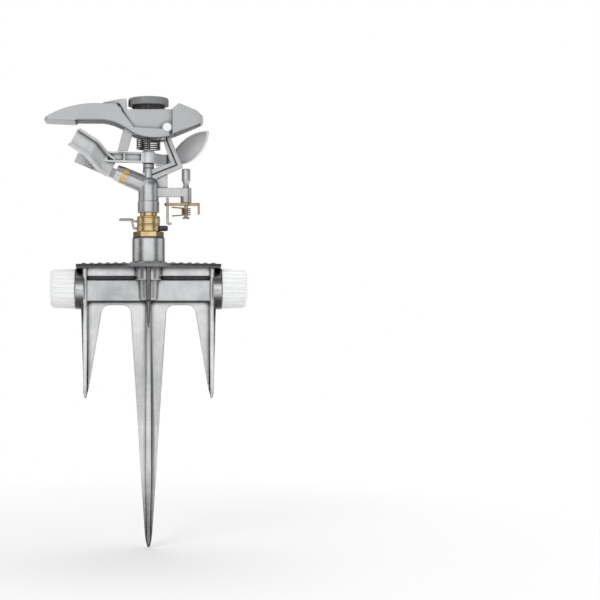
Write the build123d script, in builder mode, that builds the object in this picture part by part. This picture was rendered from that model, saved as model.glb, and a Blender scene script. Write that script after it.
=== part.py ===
from build123d import *
import math
import os

# Impact sprinkler on a step spike, in millimetres.
# X runs along the two hose inlets, the nozzle points to -X, Y runs to the back and Z is up.
# The origin is on the riser axis at ground level, where the cross gallery meets the soil.

os.makedirs("parts", exist_ok=True)

# Clearances
running_clearance = 0.06
seat_clearance = 0.05
face_gap = 0.3
seam_gap = 0.5

# Spike base: cross gallery and step plate
gallery_axis_z = 10.6
gallery_bore_radius = 7.5
beam_half_length = 51.0
beam_half_depth = 12.5
beam_face_top_z = 17.3
beam_groove_top_z = 20.5
beam_groove_depth = 2.5
beam_strip_inset = 1.0
plate_bottom_z = 27.2
plate_thickness = 3.0
plate_half_length = 57.4
plate_back_y = 13.0
plate_corner_y = -13.8
plate_shoulder_x = 28.0
plate_shoulder_y = -29.0
plate_front_y = -38.0
ridge_pitch = 6.4
ridge_width = 3.4
ridge_height = 0.8
ridge_margin = 1.2
ridge_draft = 20.0
boss_foot_z = 1.6
boss_foot_radius = 7.6
boss_radius = 8.6
boss_head_radius = 11.0
boss_setback = 3.0
gusset_thickness = 2.4
gusset_foot_reach = 6.0
gusset_top_reach = 18.0

# Spike base: centre spike, tines and the arch between them
web_thickness = 3.4
arch_z = -2.6
arch_radius = 6.5
spike_root_half_width = 14.6
spike_mid_z = -78.0
spike_mid_half_width = 9.8
spike_low_z = -134.0
spike_low_half_width = 6.4
spike_tip_z = -196.0
spike_tip_half_width = 2.2
spike_rib_thickness = 3.8
spike_rib_root_half_depth = 14.0
tine_x = 50.4
tine_outer_half_width = 3.5
tine_inner_root = 13.8
tine_tip_z = -77.0
tine_tip_half_width = 1.3
tip_round = 0.9
tine_rib_thickness = 3.7
tine_rib_root_half_depth = 13.6

# Inlets and their caps (three-quarter inch hose thread)
inlet_collar_radius = 16.5
inlet_collar_length = 7.0
inlet_thread_radius = 13.2
inlet_thread_length = 15.0
inlet_relief_length = 2.0
inlet_relief_depth = 1.0
cap_radius = 16.0
cap_end_thickness = 3.0
cap_end_round = 2.0
cap_edge_round = 1.6
cap_taper = 0.7
cap_flute_count = 24
cap_flute_radius = 1.0
cap_flute_offset = 0.4
cap_thread_depth = 0.9
gasket_thickness = 2.0
gasket_radius = 11.6
gasket_wall = 3.6

# Riser (half inch socket) and bearing stack
riser_radius = 13.4
riser_height = 20.6
riser_bore_radius = 6.8
socket_radius = 10.5
socket_depth = 17.0
seal_thickness = 1.1
seal_wall = 2.0
hex_across_flats = 21.3
hex_height = 4.3
hex_chamfer = 0.5
nut_stub_length = 11.5
journal_radius = 7.8
collar_wall = 1.6
collar_lower_height = 4.4
collar_upper_height = 4.7
nut_rib_height = 0.8
nut_top_height = 1.0
nut_flange_radius = 9.3
sleeve_radius = 5.5
sleeve_wall = 1.1
sleeve_flange_radius = 7.2
sleeve_flange_height = 2.0
sleeve_engagement = 6.0
washer_thickness = 0.9
washer_count = 3
washer_gap = 0.05
neck_radius = 7.0
neck_height = 2.9
bearing_spring_wire = 0.9
bearing_spring_turns = 3.5
bearing_spring_pitch = 1.5

# Trip collar stop wires and the black tab
stop_wire_radius = 0.9
stop_wire_reach = 24.0
stop_wire_bend_radius = 1.6
stop_upper_angle = 165.0
stop_lower_angle = 195.0
stop_rise = 6.6
tab_angle = -12.0
tab_radius = 2.2
tab_reach = 15.6

# Head body: skirt, barrel, elbow and nozzle
skirt_radius = 8.7
skirt_height = 8.7
skirt_wall = 1.2
skirt_cavity_height = 7.2
barrel_radius = 8.2
barrel_height = 12.2
water_radius = 4.4
jet_angle = 23.3
jet_barrel_radius = 7.0
jet_barrel_length = 18.0
nozzle_hex_across_flats = 13.4
nozzle_ring_length = 5.0
nozzle_shank_radius = 5.2
nozzle_shank_length = 7.0
nozzle_bore_radius = 3.2
nozzle_tip_length = 5.4
nozzle_tip_radius = 6.9
nozzle_tip_mouth_radius = 6.2
nozzle_tip_bore_radius = 2.6
vane_length = 5.0
vane_thickness = 0.8

# Bridge that holds the fulcrum pin, measured from the elbow centre
bridge_depth = 7.0
bridge_foot_x = 0.5
bridge_foot_rise = 3.4
bridge_corner_x = 27.3
bridge_corner_rise = 15.0
bridge_heel_x = -4.6
bridge_heel_rise = 10.8
bridge_inner_x = 17.7
bridge_inner_rise = 18.8
bridge_top_outer_x = 16.4
bridge_top_inner_x = 11.2
bridge_top_left_x = -6.0
bridge_top_rise = 38.2
bridge_top_thickness = 3.6
bridge_groove_width = 1.2
bridge_groove_depth = 1.1
wing_left_x = 6.2
wing_right_x = 15.6
wing_half_width = 11.2
wing_screw_x = 11.2
wing_screw_y = 8.4

# Fulcrum pin, arm hub and arm spring
pin_radius = 1.45
pin_depth = 5.0
pin_boss_radius = 4.6
pin_boss_rise = 14.2
pin_collar_radius = 4.45
pin_collar_height = 4.0
hub_radius = 5.2
hub_height = 8.8
arm_bush_wall = 1.6
pin_washer_radius = 4.6
pin_washer_thickness = 0.7
arm_spring_radius = 9.3
arm_spring_wire = 1.0
arm_spring_turns = 5.0
arm_spring_leg = 7.5

# Drive arm, with its rest angle off the jet
arm_rest_angle = 28.6
beam_height = 8.2
beam_width = 6.0
beam_pocket_depth = 1.7
beam_pocket_margin = 1.5
beam_reach = 35.0
beam_side_step = -11.0
spoon_rise_angle = 29.4
spoon_drop = 1.5
spoon_width = 14.2
spoon_thickness = 2.0
spoon_flange_width = 6.0
spoon_flange_thickness = 1.7
spoon_flange_lip = 0.6
spoon_start_reach = 27.5
spoon_start_side = -10.6
spoon_elbow_reach = 36.0
spoon_elbow_side = -9.6
spoon_knee_reach = 51.6
spoon_knee_side = 2.2
spoon_end_reach = 66.0
spoon_end_side = 0.6
spoon_bend_radius = 8.0
leaf_distance = 24.8
leaf_bearing = 56.5
leaf_thickness = 2.2
leaf_rim_width = 1.5
leaf_field_depth = 0.5
leaf_start = -8.5
leaf_root = 15.0
leaf_tip = 41.0
leaf_tip_rise = 25.2
leaf_belly = 32.0
leaf_belly_rise = 6.8
leaf_back = 24.0
leaf_back_rise = 22.4
leaf_neck = 8.0
leaf_neck_rise = 9.4
tail_width = 5.0

# Trip mechanism on its bracket
trip_axis_x = 30.0
bracket_bottom_drop = 8.4
bracket_thickness = 7.0
bracket_half_width = 4.0
bracket_boss_radius = 4.4
bracket_boss_drop = 13.0
strut_right_x = 15.2
strut_half_width = 2.2
trip_pin_radius = 1.5
trip_pin_drop = 13.0
trip_pin_grip = 8.0
trip_pin_foot_radius = 3.2
trip_pin_foot_height = 1.4
trip_pin_foot_draft = 30.0
trip_post_radius = 3.5
trip_post_foot_radius = 2.6
trip_post_neck_radius = 2.1
trip_post_rise = 14.0
trip_post_cone_rise = 4.6
trip_lever_thickness = 2.2
trip_lever_width = 5.0
trip_lever_hub_radius = 4.0
trip_wire_x = 15.2
trip_wire_radius = 1.0
trip_wire_foot = 3.2
trip_wire_bend = 1.5
trip_thumb_reach = 11.0
trip_thumb_drop = 7.0
trip_thumb_thickness = 1.7
trip_spring_radius = 3.3
trip_spring_wire = 1.1
trip_spring_pitch = 1.6
trip_spring_turns = 3.5
trip_spring_leg = 11.5
trip_spring_rise = 3.05

# Jet breaker on the back of the barrel
strap_thickness = 3.0
strap_height = 8.0
strap_side = 17.5
strap_root = 8.0
strap_shoulder = 26.0
strap_end = 64.0
strap_bend_radius = 7.0
breaker_reach = 51.2
breaker_boss_radius = 3.6
breaker_screw_radius = 1.5
breaker_point = 0.9
breaker_tip_side = 7.0
breaker_spring_length = 10.4
breaker_head_radius = 2.7
breaker_head_height = 2.4
breaker_slot_width = 0.8
breaker_slot_depth = 1.0
breaker_spring_radius = 2.5
breaker_spring_wire = 0.7
breaker_spring_pitch = 1.25
breaker_spring_turns = 7.0

# Cover: shell, flap and pivots, with heights measured from the bridge top
shell_wall = 1.9
shell_nose_x = -36.7
shell_nose_half_width = 9.6
shell_shoulder_x = -25.4
shell_shoulder_half_width = 10.6
shell_waist_x = -11.6
shell_flare_x = 18.8
shell_tail_x = 43.4
shell_tail_half_width = 11.8
shell_tail_round = 7.0
flap_tip_x = -82.6
flap_beak_half_width = 13.0
flap_beak_round = 4.5
flap_flare_x = -36.0
flap_flare_half_width = 13.6
flap_arm_x = -11.6
flap_arm_half_width = 15.9
flap_arm_wall = 2.1
flap_wall = 1.9
flap_floor_x = -58.6
flap_floor_thickness = 1.8
pivot_x = 14.6
pivot_rise = 3.6
pivot_boss_radius = 4.2
pivot_pin_radius = 1.9
pivot_head_radius = 3.3
pivot_head_height = 0.7
tongue_half_width = 2.6
tongue_thickness = 2.0
tongue_tip_x = -3.6
tongue_bend_x = -9.6
tongue_knee_x = -21.2
tongue_knee_rise = 15.6
seat_rise = 18.1
seat_start_x = -17.0
seat_end_x = 18.6
nose_rise = 23.4
nose_top_rise = 26.5
nose_top_x = -23.0
hump_x = 24.0
hump_rise = 22.7
tail_top_rise = 17.3
tail_top_x = 37.8
tail_rise = 13.2
tail_bottom_rise = 8.2
roof_wall = 2.3
shell_bottom_rise = -1.5
flap_tip_rise = 10.0
flap_tip_height = 1.6
flap_brow_x = -66.0
flap_brow_rise = 19.2
flap_top_rise = 22.6
flap_edge_rise = 10.2
flap_belly_x = -13.2
flap_belly_rise = 0.0
flap_cheek_x = -26.4
flap_cheek_rise = 7.8
flap_arm_rise = 2.4
flap_arm_step = 1.2
flap_heel_drop = 6.4
flap_sag_x = 4.0
flap_sag_rise = -4.4

# Range knob on the cover
knob_radius = 16.2
knob_rim_height = 5.9
knob_foot_radius = 13.0
knob_foot_height = 4.0
knob_flute_count = 18
knob_flute_radius = 0.8
knob_dish_depth = 0.9
knob_dish_radius = 13.8
knob_bar_ring_radius = 10.6
knob_bar_count = 7
knob_bar_sweep = 300.0
knob_bar_width = 0.8
knob_bar_widening = 0.26
knob_bar_length = 1.3
knob_bar_lengthening = 0.52
knob_bar_depth = 0.4
button_radius = 5.65
button_height = 1.5
spindle_radius = 3.0
cam_radius = 7.5
cam_base_thickness = 1.6
cam_rise = 13.0
cam_step_count = 6
cam_step_angle = 45.0
cam_step_drop = 0.36
screw_radius = 1.6
screw_head_radius = 2.6
screw_head_height = 1.6
screw_boss_wall = 1.6
screw_hole_depth = 10.5
screw_grip = 9.6

# Spring anchor leg of the cover
leg_top_x = -12.6
leg_bottom_x = -16.4
leg_width = 8.0
leg_thickness = 2.8
leg_drop = 14.6

# Levels that follow from the sizes above, from the ground up
collar_end_x = beam_half_length + inlet_collar_length
thread_start_x = collar_end_x + inlet_relief_length
thread_end_x = collar_end_x + inlet_thread_length
plate_top_z = plate_bottom_z + plate_thickness
riser_top_z = plate_top_z + riser_height
hex_bottom_z = riser_top_z + seal_thickness
hex_top_z = hex_bottom_z + hex_height
collar_lower_z = hex_top_z + face_gap
nut_rib_z = collar_lower_z + collar_lower_height + face_gap
collar_upper_z = nut_rib_z + nut_rib_height + face_gap
nut_top_z = collar_upper_z + collar_upper_height + face_gap + nut_top_height
neck_z = nut_top_z + face_gap
skirt_z = neck_z + neck_height
barrel_z = skirt_z + skirt_height
elbow_z = barrel_z + barrel_height
sleeve_bore_radius = sleeve_radius - sleeve_wall
collar_outer_radius = journal_radius + running_clearance + collar_wall

# Levels of the arm on its pin
boss_top_z = elbow_z + pin_boss_rise
pin_collar_top_z = boss_top_z + pin_collar_height
hub_z = pin_collar_top_z + face_gap
hub_top_z = hub_z + hub_height
washer_z = hub_top_z + face_gap
arm_spring_z = washer_z + pin_washer_thickness + arm_spring_wire
bridge_bar_z = elbow_z + bridge_top_rise
spoon_level = elbow_z - spoon_drop
arm_spring_height = bridge_bar_z - seat_clearance - arm_spring_wire / 2 - arm_spring_z
arm_spring_leg_turns = arm_spring_leg / (2 * math.pi * arm_spring_radius)
arm_spring_pitch = arm_spring_height / (arm_spring_turns + arm_spring_leg_turns)
bridge_top_z = bridge_bar_z + bridge_top_thickness

# Levels of the trip mechanism
bracket_z = elbow_z - bracket_bottom_drop
bracket_top_z = bracket_z + bracket_thickness
bracket_middle_z = bracket_z + bracket_thickness / 2
trip_boss_z = elbow_z - bracket_boss_drop
trip_lever_z = trip_boss_z - face_gap - trip_lever_thickness

# Levels of the cover
pivot_z = bridge_top_z + pivot_rise

# Directions of the jet and of the arm
jet_run = math.cos(math.radians(jet_angle))
jet_climb = math.sin(math.radians(jet_angle))
elbow_point = (0, 0, elbow_z)
jet_cross = Plane(origin=elbow_point, x_dir=(0, 1, 0), z_dir=(-jet_run, 0, jet_climb))
jet_side = Plane(origin=elbow_point, x_dir=(-jet_run, 0, jet_climb), z_dir=(0, 1, 0))
jet_plan = Plane(origin=elbow_point, x_dir=(-jet_run, 0, jet_climb), z_dir=(jet_climb, 0, jet_run))
arm_cos = math.cos(math.radians(arm_rest_angle))
arm_sin = math.sin(math.radians(arm_rest_angle))


def keep(piece, name):
    # Names a finished piece and writes it to its own file
    piece.label = name
    export_step(piece, f"parts/{name}.step")


def upright_plane(origin, bearing):
    # Upright plane with its first direction at a bearing and its second one up
    turn = math.radians(bearing)
    return Plane(origin=origin, x_dir=(math.cos(turn), math.sin(turn), 0),
                 z_dir=(math.sin(turn), -math.cos(turn), 0))


def helix_point(frame, radius, pitch, turn):
    angle = 2 * math.pi * turn
    return frame.from_local_coords(Vector(radius * math.cos(angle), radius * math.sin(angle), pitch * turn))


def helix_tangent(frame, radius, pitch, turn):
    angle = 2 * math.pi * turn
    rise = pitch / (2 * math.pi)
    local = Vector(-radius * math.sin(angle), radius * math.cos(angle), rise).normalized()
    return (frame.x_dir * local.X + frame.y_dir * local.Y + frame.z_dir * local.Z).normalized()


def biarc_joint(start, start_tangent, end, end_tangent):
    # Point where the two arcs meet: the handle length d solves
    # |end - start - d (start_tangent + end_tangent)| = 2 d
    chord = end - start
    both = start_tangent + end_tangent
    a = 2 * (1 - start_tangent.dot(end_tangent))
    b = 2 * chord.dot(both)
    c = -chord.dot(chord)
    handle = (-b + math.sqrt(b * b - 4 * a * c)) / (2 * a)
    return (start + start_tangent * handle + end - end_tangent * handle) * 0.5


def coil_gap(frame, radius, pitch, turns, wire):
    # Least gap between points of the coil that are at least half a turn apart
    per_turn = 24
    count = round(turns * per_turn)
    points = [helix_point(frame, radius, pitch, step / per_turn) for step in range(count + 1)]
    apart = per_turn // 2
    gaps = [(points[j] - points[i]).length for i in range(count + 1) for j in range(i + apart, count + 1)]
    return min(gaps) - wire


def wound_spring(name, frame, radius, pitch, turns, wire, first_leg, last_leg):
    # One unbroken wire: a straight leg, half turns as pairs of arcs, and a straight leg
    half_turns = round(turns * 2)
    with BuildPart() as spring:
        with BuildLine() as wire_line:
            point = helix_point(frame, radius, pitch, 0)
            tangent = helix_tangent(frame, radius, pitch, 0)
            wire_start = point - tangent * first_leg
            Line(wire_start, point)
            for half in range(1, half_turns + 1):
                next_point = helix_point(frame, radius, pitch, half / 2)
                next_tangent = helix_tangent(frame, radius, pitch, half / 2)
                joint = biarc_joint(point, tangent, next_point, next_tangent)
                first = TangentArc(point, joint, tangent=tangent)
                TangentArc(joint, next_point, tangent=first % 1)
                point = next_point
                tangent = next_tangent
            Line(point, point + tangent * last_leg)
        with BuildSketch(Plane(origin=wire_start, z_dir=wire_line.line % 0)):
            Circle(wire / 2)
        sweep(path=wire_line.line)
    print(name, "least gap", round(coil_gap(frame, radius, pitch, turns, wire), 2))
    keep(spring.part, name)


# Spike base

with BuildPart() as spike_base:
    # Cross gallery: flat face, dark groove and recessed strip under the plate
    with BuildSketch(Plane.YZ):
        Rectangle(2 * beam_half_depth, beam_face_top_z, align=(Align.CENTER, Align.MIN))
        Rectangle(2 * (beam_half_depth - beam_groove_depth), plate_bottom_z, align=(Align.CENTER, Align.MIN))
        with Locations((0, beam_groove_top_z)):
            Rectangle(2 * (beam_half_depth - beam_strip_inset), plate_bottom_z - beam_groove_top_z,
                      align=(Align.CENTER, Align.MIN))
    extrude(amount=beam_half_length, both=True)

    # Step plate with front-to-back ridges
    with BuildSketch(Plane.XY.offset(plate_bottom_z)) as plate_sketch:
        with BuildLine():
            Polyline((-plate_shoulder_x, plate_shoulder_y), (-plate_half_length, plate_corner_y),
                     (-plate_half_length, plate_back_y), (plate_half_length, plate_back_y),
                     (plate_half_length, plate_corner_y), (plate_shoulder_x, plate_shoulder_y))
            ThreePointArc((plate_shoulder_x, plate_shoulder_y), (0, plate_front_y),
                          (-plate_shoulder_x, plate_shoulder_y))
        make_face()
    extrude(amount=plate_thickness)
    ridge_outline = offset(plate_sketch.sketch, amount=-ridge_margin, mode=Mode.PRIVATE)
    ridge_count = 2 * int((plate_half_length - ridge_margin) / ridge_pitch) + 1
    with BuildSketch(Plane.XY.offset(plate_top_z)):
        with GridLocations(ridge_pitch, 0, ridge_count, 1):
            Rectangle(ridge_width, 4 * plate_half_length)
        add(ridge_outline.moved(Location((0, 0, plate_thickness))), mode=Mode.INTERSECT)
    extrude(amount=ridge_height, taper=ridge_draft)

    # Half-round boss under the bulge of the plate, with its upright gusset
    boss_spot = (0, boss_setback - beam_half_depth)
    with BuildSketch(Plane.XY.offset(boss_foot_z)):
        with Locations(boss_spot):
            Circle(boss_foot_radius)
    with BuildSketch(Plane.XY.offset(beam_face_top_z)):
        with Locations(boss_spot):
            Circle(boss_radius)
    loft()
    with BuildSketch(Plane.XY.offset(beam_face_top_z)):
        with Locations(boss_spot):
            Circle(boss_head_radius)
    extrude(amount=plate_bottom_z - beam_face_top_z)
    with BuildSketch(Plane.YZ):
        Polygon((boss_spot[1], boss_foot_z), (-beam_half_depth - gusset_foot_reach, boss_foot_z),
                (-beam_half_depth - gusset_top_reach, plate_bottom_z), (boss_spot[1], plate_bottom_z),
                align=None)
    extrude(amount=gusset_thickness / 2, both=True)

    # Web of the spike, the arch and the tines
    with BuildSketch(Plane.XZ) as web_sketch:
        Polygon((0, beam_face_top_z / 2), (tine_x + tine_outer_half_width, beam_face_top_z / 2),
                (tine_x + tine_outer_half_width, arch_z), (tine_x + tine_tip_half_width, tine_tip_z),
                (tine_x - tine_tip_half_width, tine_tip_z), (tine_x - tine_inner_root, arch_z),
                (spike_root_half_width, arch_z), (spike_mid_half_width, spike_mid_z),
                (spike_low_half_width, spike_low_z), (spike_tip_half_width, spike_tip_z), (0, spike_tip_z),
                align=None)
        root_corners = [corner for corner in web_sketch.vertices()
                        if corner.distance_to((tine_x - tine_inner_root, arch_z, 0)) < face_gap
                        or corner.distance_to((spike_root_half_width, arch_z, 0)) < face_gap]
        fillet(root_corners, radius=arch_radius)
        tip_corners = [corner for corner in web_sketch.vertices()
                       if corner.distance_to((tine_x + tine_tip_half_width, tine_tip_z, 0)) < face_gap
                       or corner.distance_to((tine_x - tine_tip_half_width, tine_tip_z, 0)) < face_gap
                       or corner.distance_to((spike_tip_half_width, spike_tip_z, 0)) < face_gap]
        fillet(tip_corners, radius=tip_round)
        mirror(about=Plane.YZ)
    extrude(amount=web_thickness / 2, both=True)

    # Cross rib of the spike, from the gallery to the tip
    with BuildSketch(Plane.YZ):
        with BuildLine():
            Polyline((0, beam_face_top_z / 2), (spike_rib_root_half_depth, beam_face_top_z / 2),
                     (spike_rib_root_half_depth, arch_z),
                     (spike_rib_root_half_depth * spike_low_half_width / spike_root_half_width, spike_low_z),
                     (spike_tip_half_width, spike_tip_z), (0, spike_tip_z), close=True)
        make_face()
        mirror(about=Plane.YZ)
    extrude(amount=spike_rib_thickness / 2, both=True)

    # Cross ribs of the tines, which run on up the gallery to the plate
    for side in (-1, 1):
        with BuildSketch(Plane.YZ.offset(side * tine_x)):
            Polygon((-tine_rib_root_half_depth, plate_bottom_z), (-tine_rib_root_half_depth, arch_z),
                    (-tine_tip_half_width, tine_tip_z), (tine_tip_half_width, tine_tip_z),
                    (tine_rib_root_half_depth, arch_z), (tine_rib_root_half_depth, plate_bottom_z),
                    align=None)
        extrude(amount=tine_rib_thickness / 2, both=True)

        # Inlet: collar, thread relief and thread
        with BuildSketch(Plane.YZ.offset(side * beam_half_length)):
            with Locations((0, gallery_axis_z)):
                Circle(inlet_collar_radius)
        extrude(amount=side * inlet_collar_length)
        with BuildSketch(Plane.YZ.offset(side * collar_end_x)):
            with Locations((0, gallery_axis_z)):
                Circle(inlet_thread_radius - inlet_relief_depth)
        extrude(amount=side * inlet_relief_length)
        with BuildSketch(Plane.YZ.offset(side * thread_start_x)):
            with Locations((0, gallery_axis_z)):
                Circle(inlet_thread_radius)
        extrude(amount=side * (thread_end_x - thread_start_x))

    # Riser on the plate
    with BuildSketch(Plane.XY.offset(plate_bottom_z)):
        Circle(riser_radius)
    extrude(amount=riser_top_z - plate_bottom_z)

    # Water ways: along the gallery, up the riser, and the threaded socket
    with BuildSketch(Plane.YZ):
        with Locations((0, gallery_axis_z)):
            Circle(gallery_bore_radius)
    extrude(amount=thread_end_x, both=True, mode=Mode.SUBTRACT)
    with BuildSketch(Plane.XY.offset(gallery_axis_z)):
        Circle(riser_bore_radius)
    extrude(amount=riser_top_z - gallery_axis_z, mode=Mode.SUBTRACT)
    with BuildSketch(Plane.XY.offset(riser_top_z - socket_depth)):
        Circle(socket_radius)
    extrude(amount=socket_depth, mode=Mode.SUBTRACT)

keep(spike_base.part, "spike_base")

# Inlet caps and gaskets

cap_start_x = collar_end_x + face_gap
cap_floor_x = thread_end_x + gasket_thickness
cap_end_x = cap_floor_x + cap_end_thickness
cap_length = cap_end_x - cap_start_x
cap_bore_radius = inlet_thread_radius + cap_thread_depth

for side, side_name in ((-1, "left"), (1, "right")):
    inlet_axis = Plane(origin=(0, 0, gallery_axis_z), x_dir=(0, 1, 0), z_dir=(side, 0, 0))

    with BuildPart() as cap:
        with BuildSketch(inlet_axis.offset(cap_start_x)) as cap_rim:
            Circle(cap_radius)
            with PolarLocations(cap_radius + cap_flute_offset, cap_flute_count):
                Circle(cap_flute_radius, mode=Mode.SUBTRACT)
        with BuildSketch(inlet_axis.offset(cap_end_x - cap_end_round)):
            Circle(cap_radius - cap_taper)
            with PolarLocations(cap_radius - cap_taper + cap_flute_offset, cap_flute_count):
                Circle(cap_flute_radius, mode=Mode.SUBTRACT)
        loft(ruled=True)
        with BuildSketch(inlet_axis.offset(cap_end_x - cap_end_round)):
            Circle(cap_radius - cap_taper - cap_flute_radius + cap_flute_offset)
        extrude(amount=cap_end_round)
        fillet(cap.faces().sort_by(Axis.X)[-1 if side > 0 else 0].outer_wire().edges(),
               radius=cap_edge_round)
        with BuildSketch(inlet_axis.offset(cap_start_x)):
            Circle(cap_bore_radius)
        extrude(amount=cap_floor_x - cap_start_x, mode=Mode.SUBTRACT)
    keep(cap.part, f"inlet_cap_{side_name}")

    with BuildPart() as cap_gasket:
        with BuildSketch(inlet_axis.offset(thread_end_x)):
            Circle(gasket_radius)
            Circle(gasket_radius - gasket_wall, mode=Mode.SUBTRACT)
        extrude(amount=gasket_thickness)
    keep(cap_gasket.part, f"cap_gasket_{side_name}")

# Bearing nut, seal, sleeve and washers

with BuildPart() as riser_seal:
    with BuildSketch(Plane.XY.offset(riser_top_z)):
        Circle(socket_radius + seal_wall)
        Circle(socket_radius, mode=Mode.SUBTRACT)
    extrude(amount=seal_thickness)
keep(riser_seal.part, "riser_seal")

with BuildPart() as bearing_nut:
    with BuildSketch(Plane.XY.offset(hex_bottom_z)):
        RegularPolygon(hex_across_flats / 2, 6, major_radius=False)
    extrude(amount=hex_height)
    chamfer(bearing_nut.edges().group_by(Axis.Z)[-1], length=hex_chamfer)
    with BuildSketch(Plane.XY.offset(hex_bottom_z - nut_stub_length)):
        Circle(socket_radius - seat_clearance)
    extrude(amount=nut_stub_length)
    with BuildSketch(Plane.XY.offset(hex_top_z)):
        Circle(journal_radius)
    extrude(amount=nut_top_z - hex_top_z)
    with BuildSketch(Plane.XY.offset(nut_rib_z)):
        Circle(nut_flange_radius)
    extrude(amount=nut_rib_height)
    with BuildSketch(Plane.XY.offset(nut_top_z - nut_top_height)):
        Circle(nut_flange_radius)
    extrude(amount=nut_top_height)
    with BuildSketch(Plane.XY.offset(hex_bottom_z - nut_stub_length)):
        Circle(sleeve_radius + running_clearance)
    extrude(amount=nut_top_z - hex_bottom_z + nut_stub_length, mode=Mode.SUBTRACT)
keep(bearing_nut.part, "bearing_nut")

nut_bottom_z = hex_bottom_z - nut_stub_length
washer_pitch = washer_thickness + washer_gap
flange_top_z = nut_bottom_z - washer_count * washer_pitch - washer_gap

with BuildPart() as bearing_washers:
    for step in range(washer_count):
        with BuildSketch(Plane.XY.offset(flange_top_z + washer_gap + step * washer_pitch)):
            Circle(sleeve_flange_radius)
            Circle(sleeve_radius + running_clearance, mode=Mode.SUBTRACT)
        extrude(amount=washer_thickness)
keep(bearing_washers.part, "bearing_washers")

sleeve_top_z = skirt_z + skirt_cavity_height + sleeve_engagement

with BuildPart() as bearing_sleeve:
    with BuildSketch(Plane.XY.offset(flange_top_z - sleeve_flange_height)):
        Circle(sleeve_flange_radius)
    extrude(amount=sleeve_flange_height)
    with BuildSketch(Plane.XY.offset(flange_top_z)):
        Circle(sleeve_radius)
    extrude(amount=sleeve_top_z - flange_top_z)
    with BuildSketch(Plane.XY.offset(flange_top_z - sleeve_flange_height)):
        Circle(sleeve_bore_radius)
    extrude(amount=sleeve_top_z - flange_top_z + sleeve_flange_height, mode=Mode.SUBTRACT)
keep(bearing_sleeve.part, "bearing_sleeve")

with BuildPart() as neck_bush:
    with BuildSketch(Plane.XY.offset(neck_z)):
        Circle(neck_radius)
        Circle(sleeve_radius + seat_clearance, mode=Mode.SUBTRACT)
    extrude(amount=neck_height)
keep(neck_bush.part, "neck_bush")

bearing_spring_frame = Plane.XY.offset(skirt_z + bearing_spring_wire)
bearing_spring_radius = (sleeve_radius + skirt_radius - skirt_wall) / 2
wound_spring("bearing_spring", bearing_spring_frame, bearing_spring_radius, bearing_spring_pitch,
             bearing_spring_turns, bearing_spring_wire, bearing_spring_wire, bearing_spring_wire)

# Trip collars, their stop wires and the black tab

for name, base_z, height in (("trip_collar_lower", collar_lower_z, collar_lower_height),
                             ("trip_collar_upper", collar_upper_z, collar_upper_height)):
    with BuildPart() as collar:
        with BuildSketch(Plane.XY.offset(base_z)):
            Circle(collar_outer_radius)
            Circle(journal_radius + running_clearance, mode=Mode.SUBTRACT)
        extrude(amount=height)
    keep(collar.part, name)


stop_wire_start = collar_outer_radius + seat_clearance
stop_knee = stop_wire_start + 3 * stop_wire_radius

collar_lower_middle_z = collar_lower_z + collar_lower_height / 2
collar_upper_middle_z = collar_upper_z + collar_upper_height / 2

for name, angle, level, rise in (
        ("stop_wire_lower", stop_lower_angle, collar_lower_middle_z, stop_rise),
        ("stop_wire_upper", stop_upper_angle, collar_upper_middle_z, 2 * stop_wire_radius)):
    wire_plane = upright_plane((0, 0, level), angle)
    with BuildPart() as stop_wire:
        with BuildLine(wire_plane) as stop_line:
            FilletPolyline((stop_wire_start, 0), (stop_knee, 0), (stop_knee + 2 * stop_wire_radius, rise),
                           (stop_wire_reach, rise), radius=stop_wire_bend_radius / 2)
        with BuildSketch(Plane(origin=stop_line.line @ 0, z_dir=stop_line.line % 0)):
            Circle(stop_wire_radius)
        sweep(path=stop_line.line)
    keep(stop_wire.part, name)

tab_plane = upright_plane((0, 0, collar_lower_middle_z), tab_angle)
tab_cross = Plane(origin=tab_plane.origin + tab_plane.x_dir * stop_wire_start, z_dir=tab_plane.x_dir)

with BuildPart() as collar_tab:
    with BuildSketch(tab_cross):
        Circle(tab_radius)
    extrude(amount=tab_reach - stop_wire_start)
    fillet(collar_tab.edges().sort_by(Axis.X)[-1], radius=tab_radius / 3)
keep(collar_tab.part, "collar_tab")

# Head body: swivel skirt, elbow, angled barrel, bridge and trip bracket

bridge_foot = (bridge_foot_x, elbow_z + bridge_foot_rise)
bridge_corner = (bridge_corner_x, elbow_z + bridge_corner_rise)
bridge_inner = (bridge_inner_x, elbow_z + bridge_inner_rise)
bridge_heel = (bridge_heel_x, elbow_z + bridge_heel_rise)
bridge_outline = (bridge_foot, bridge_corner, (bridge_top_outer_x, bridge_top_z),
                  (bridge_top_left_x, bridge_top_z), (bridge_top_left_x, bridge_bar_z),
                  (bridge_top_inner_x, bridge_bar_z), bridge_inner, bridge_heel,
                  (bridge_heel_x, elbow_z))
bridge_groove = [((outer_x + inner_x) / 2, (outer_z + inner_z) / 2)
                 for (outer_x, outer_z), (inner_x, inner_z) in (
                     ((bridge_top_outer_x, bridge_bar_z), (bridge_top_inner_x, bridge_bar_z)),
                     (bridge_corner, bridge_inner), (bridge_foot, bridge_heel))]
pin_bottom_z = boss_top_z - pin_depth
wing_length = wing_right_x - wing_left_x

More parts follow.
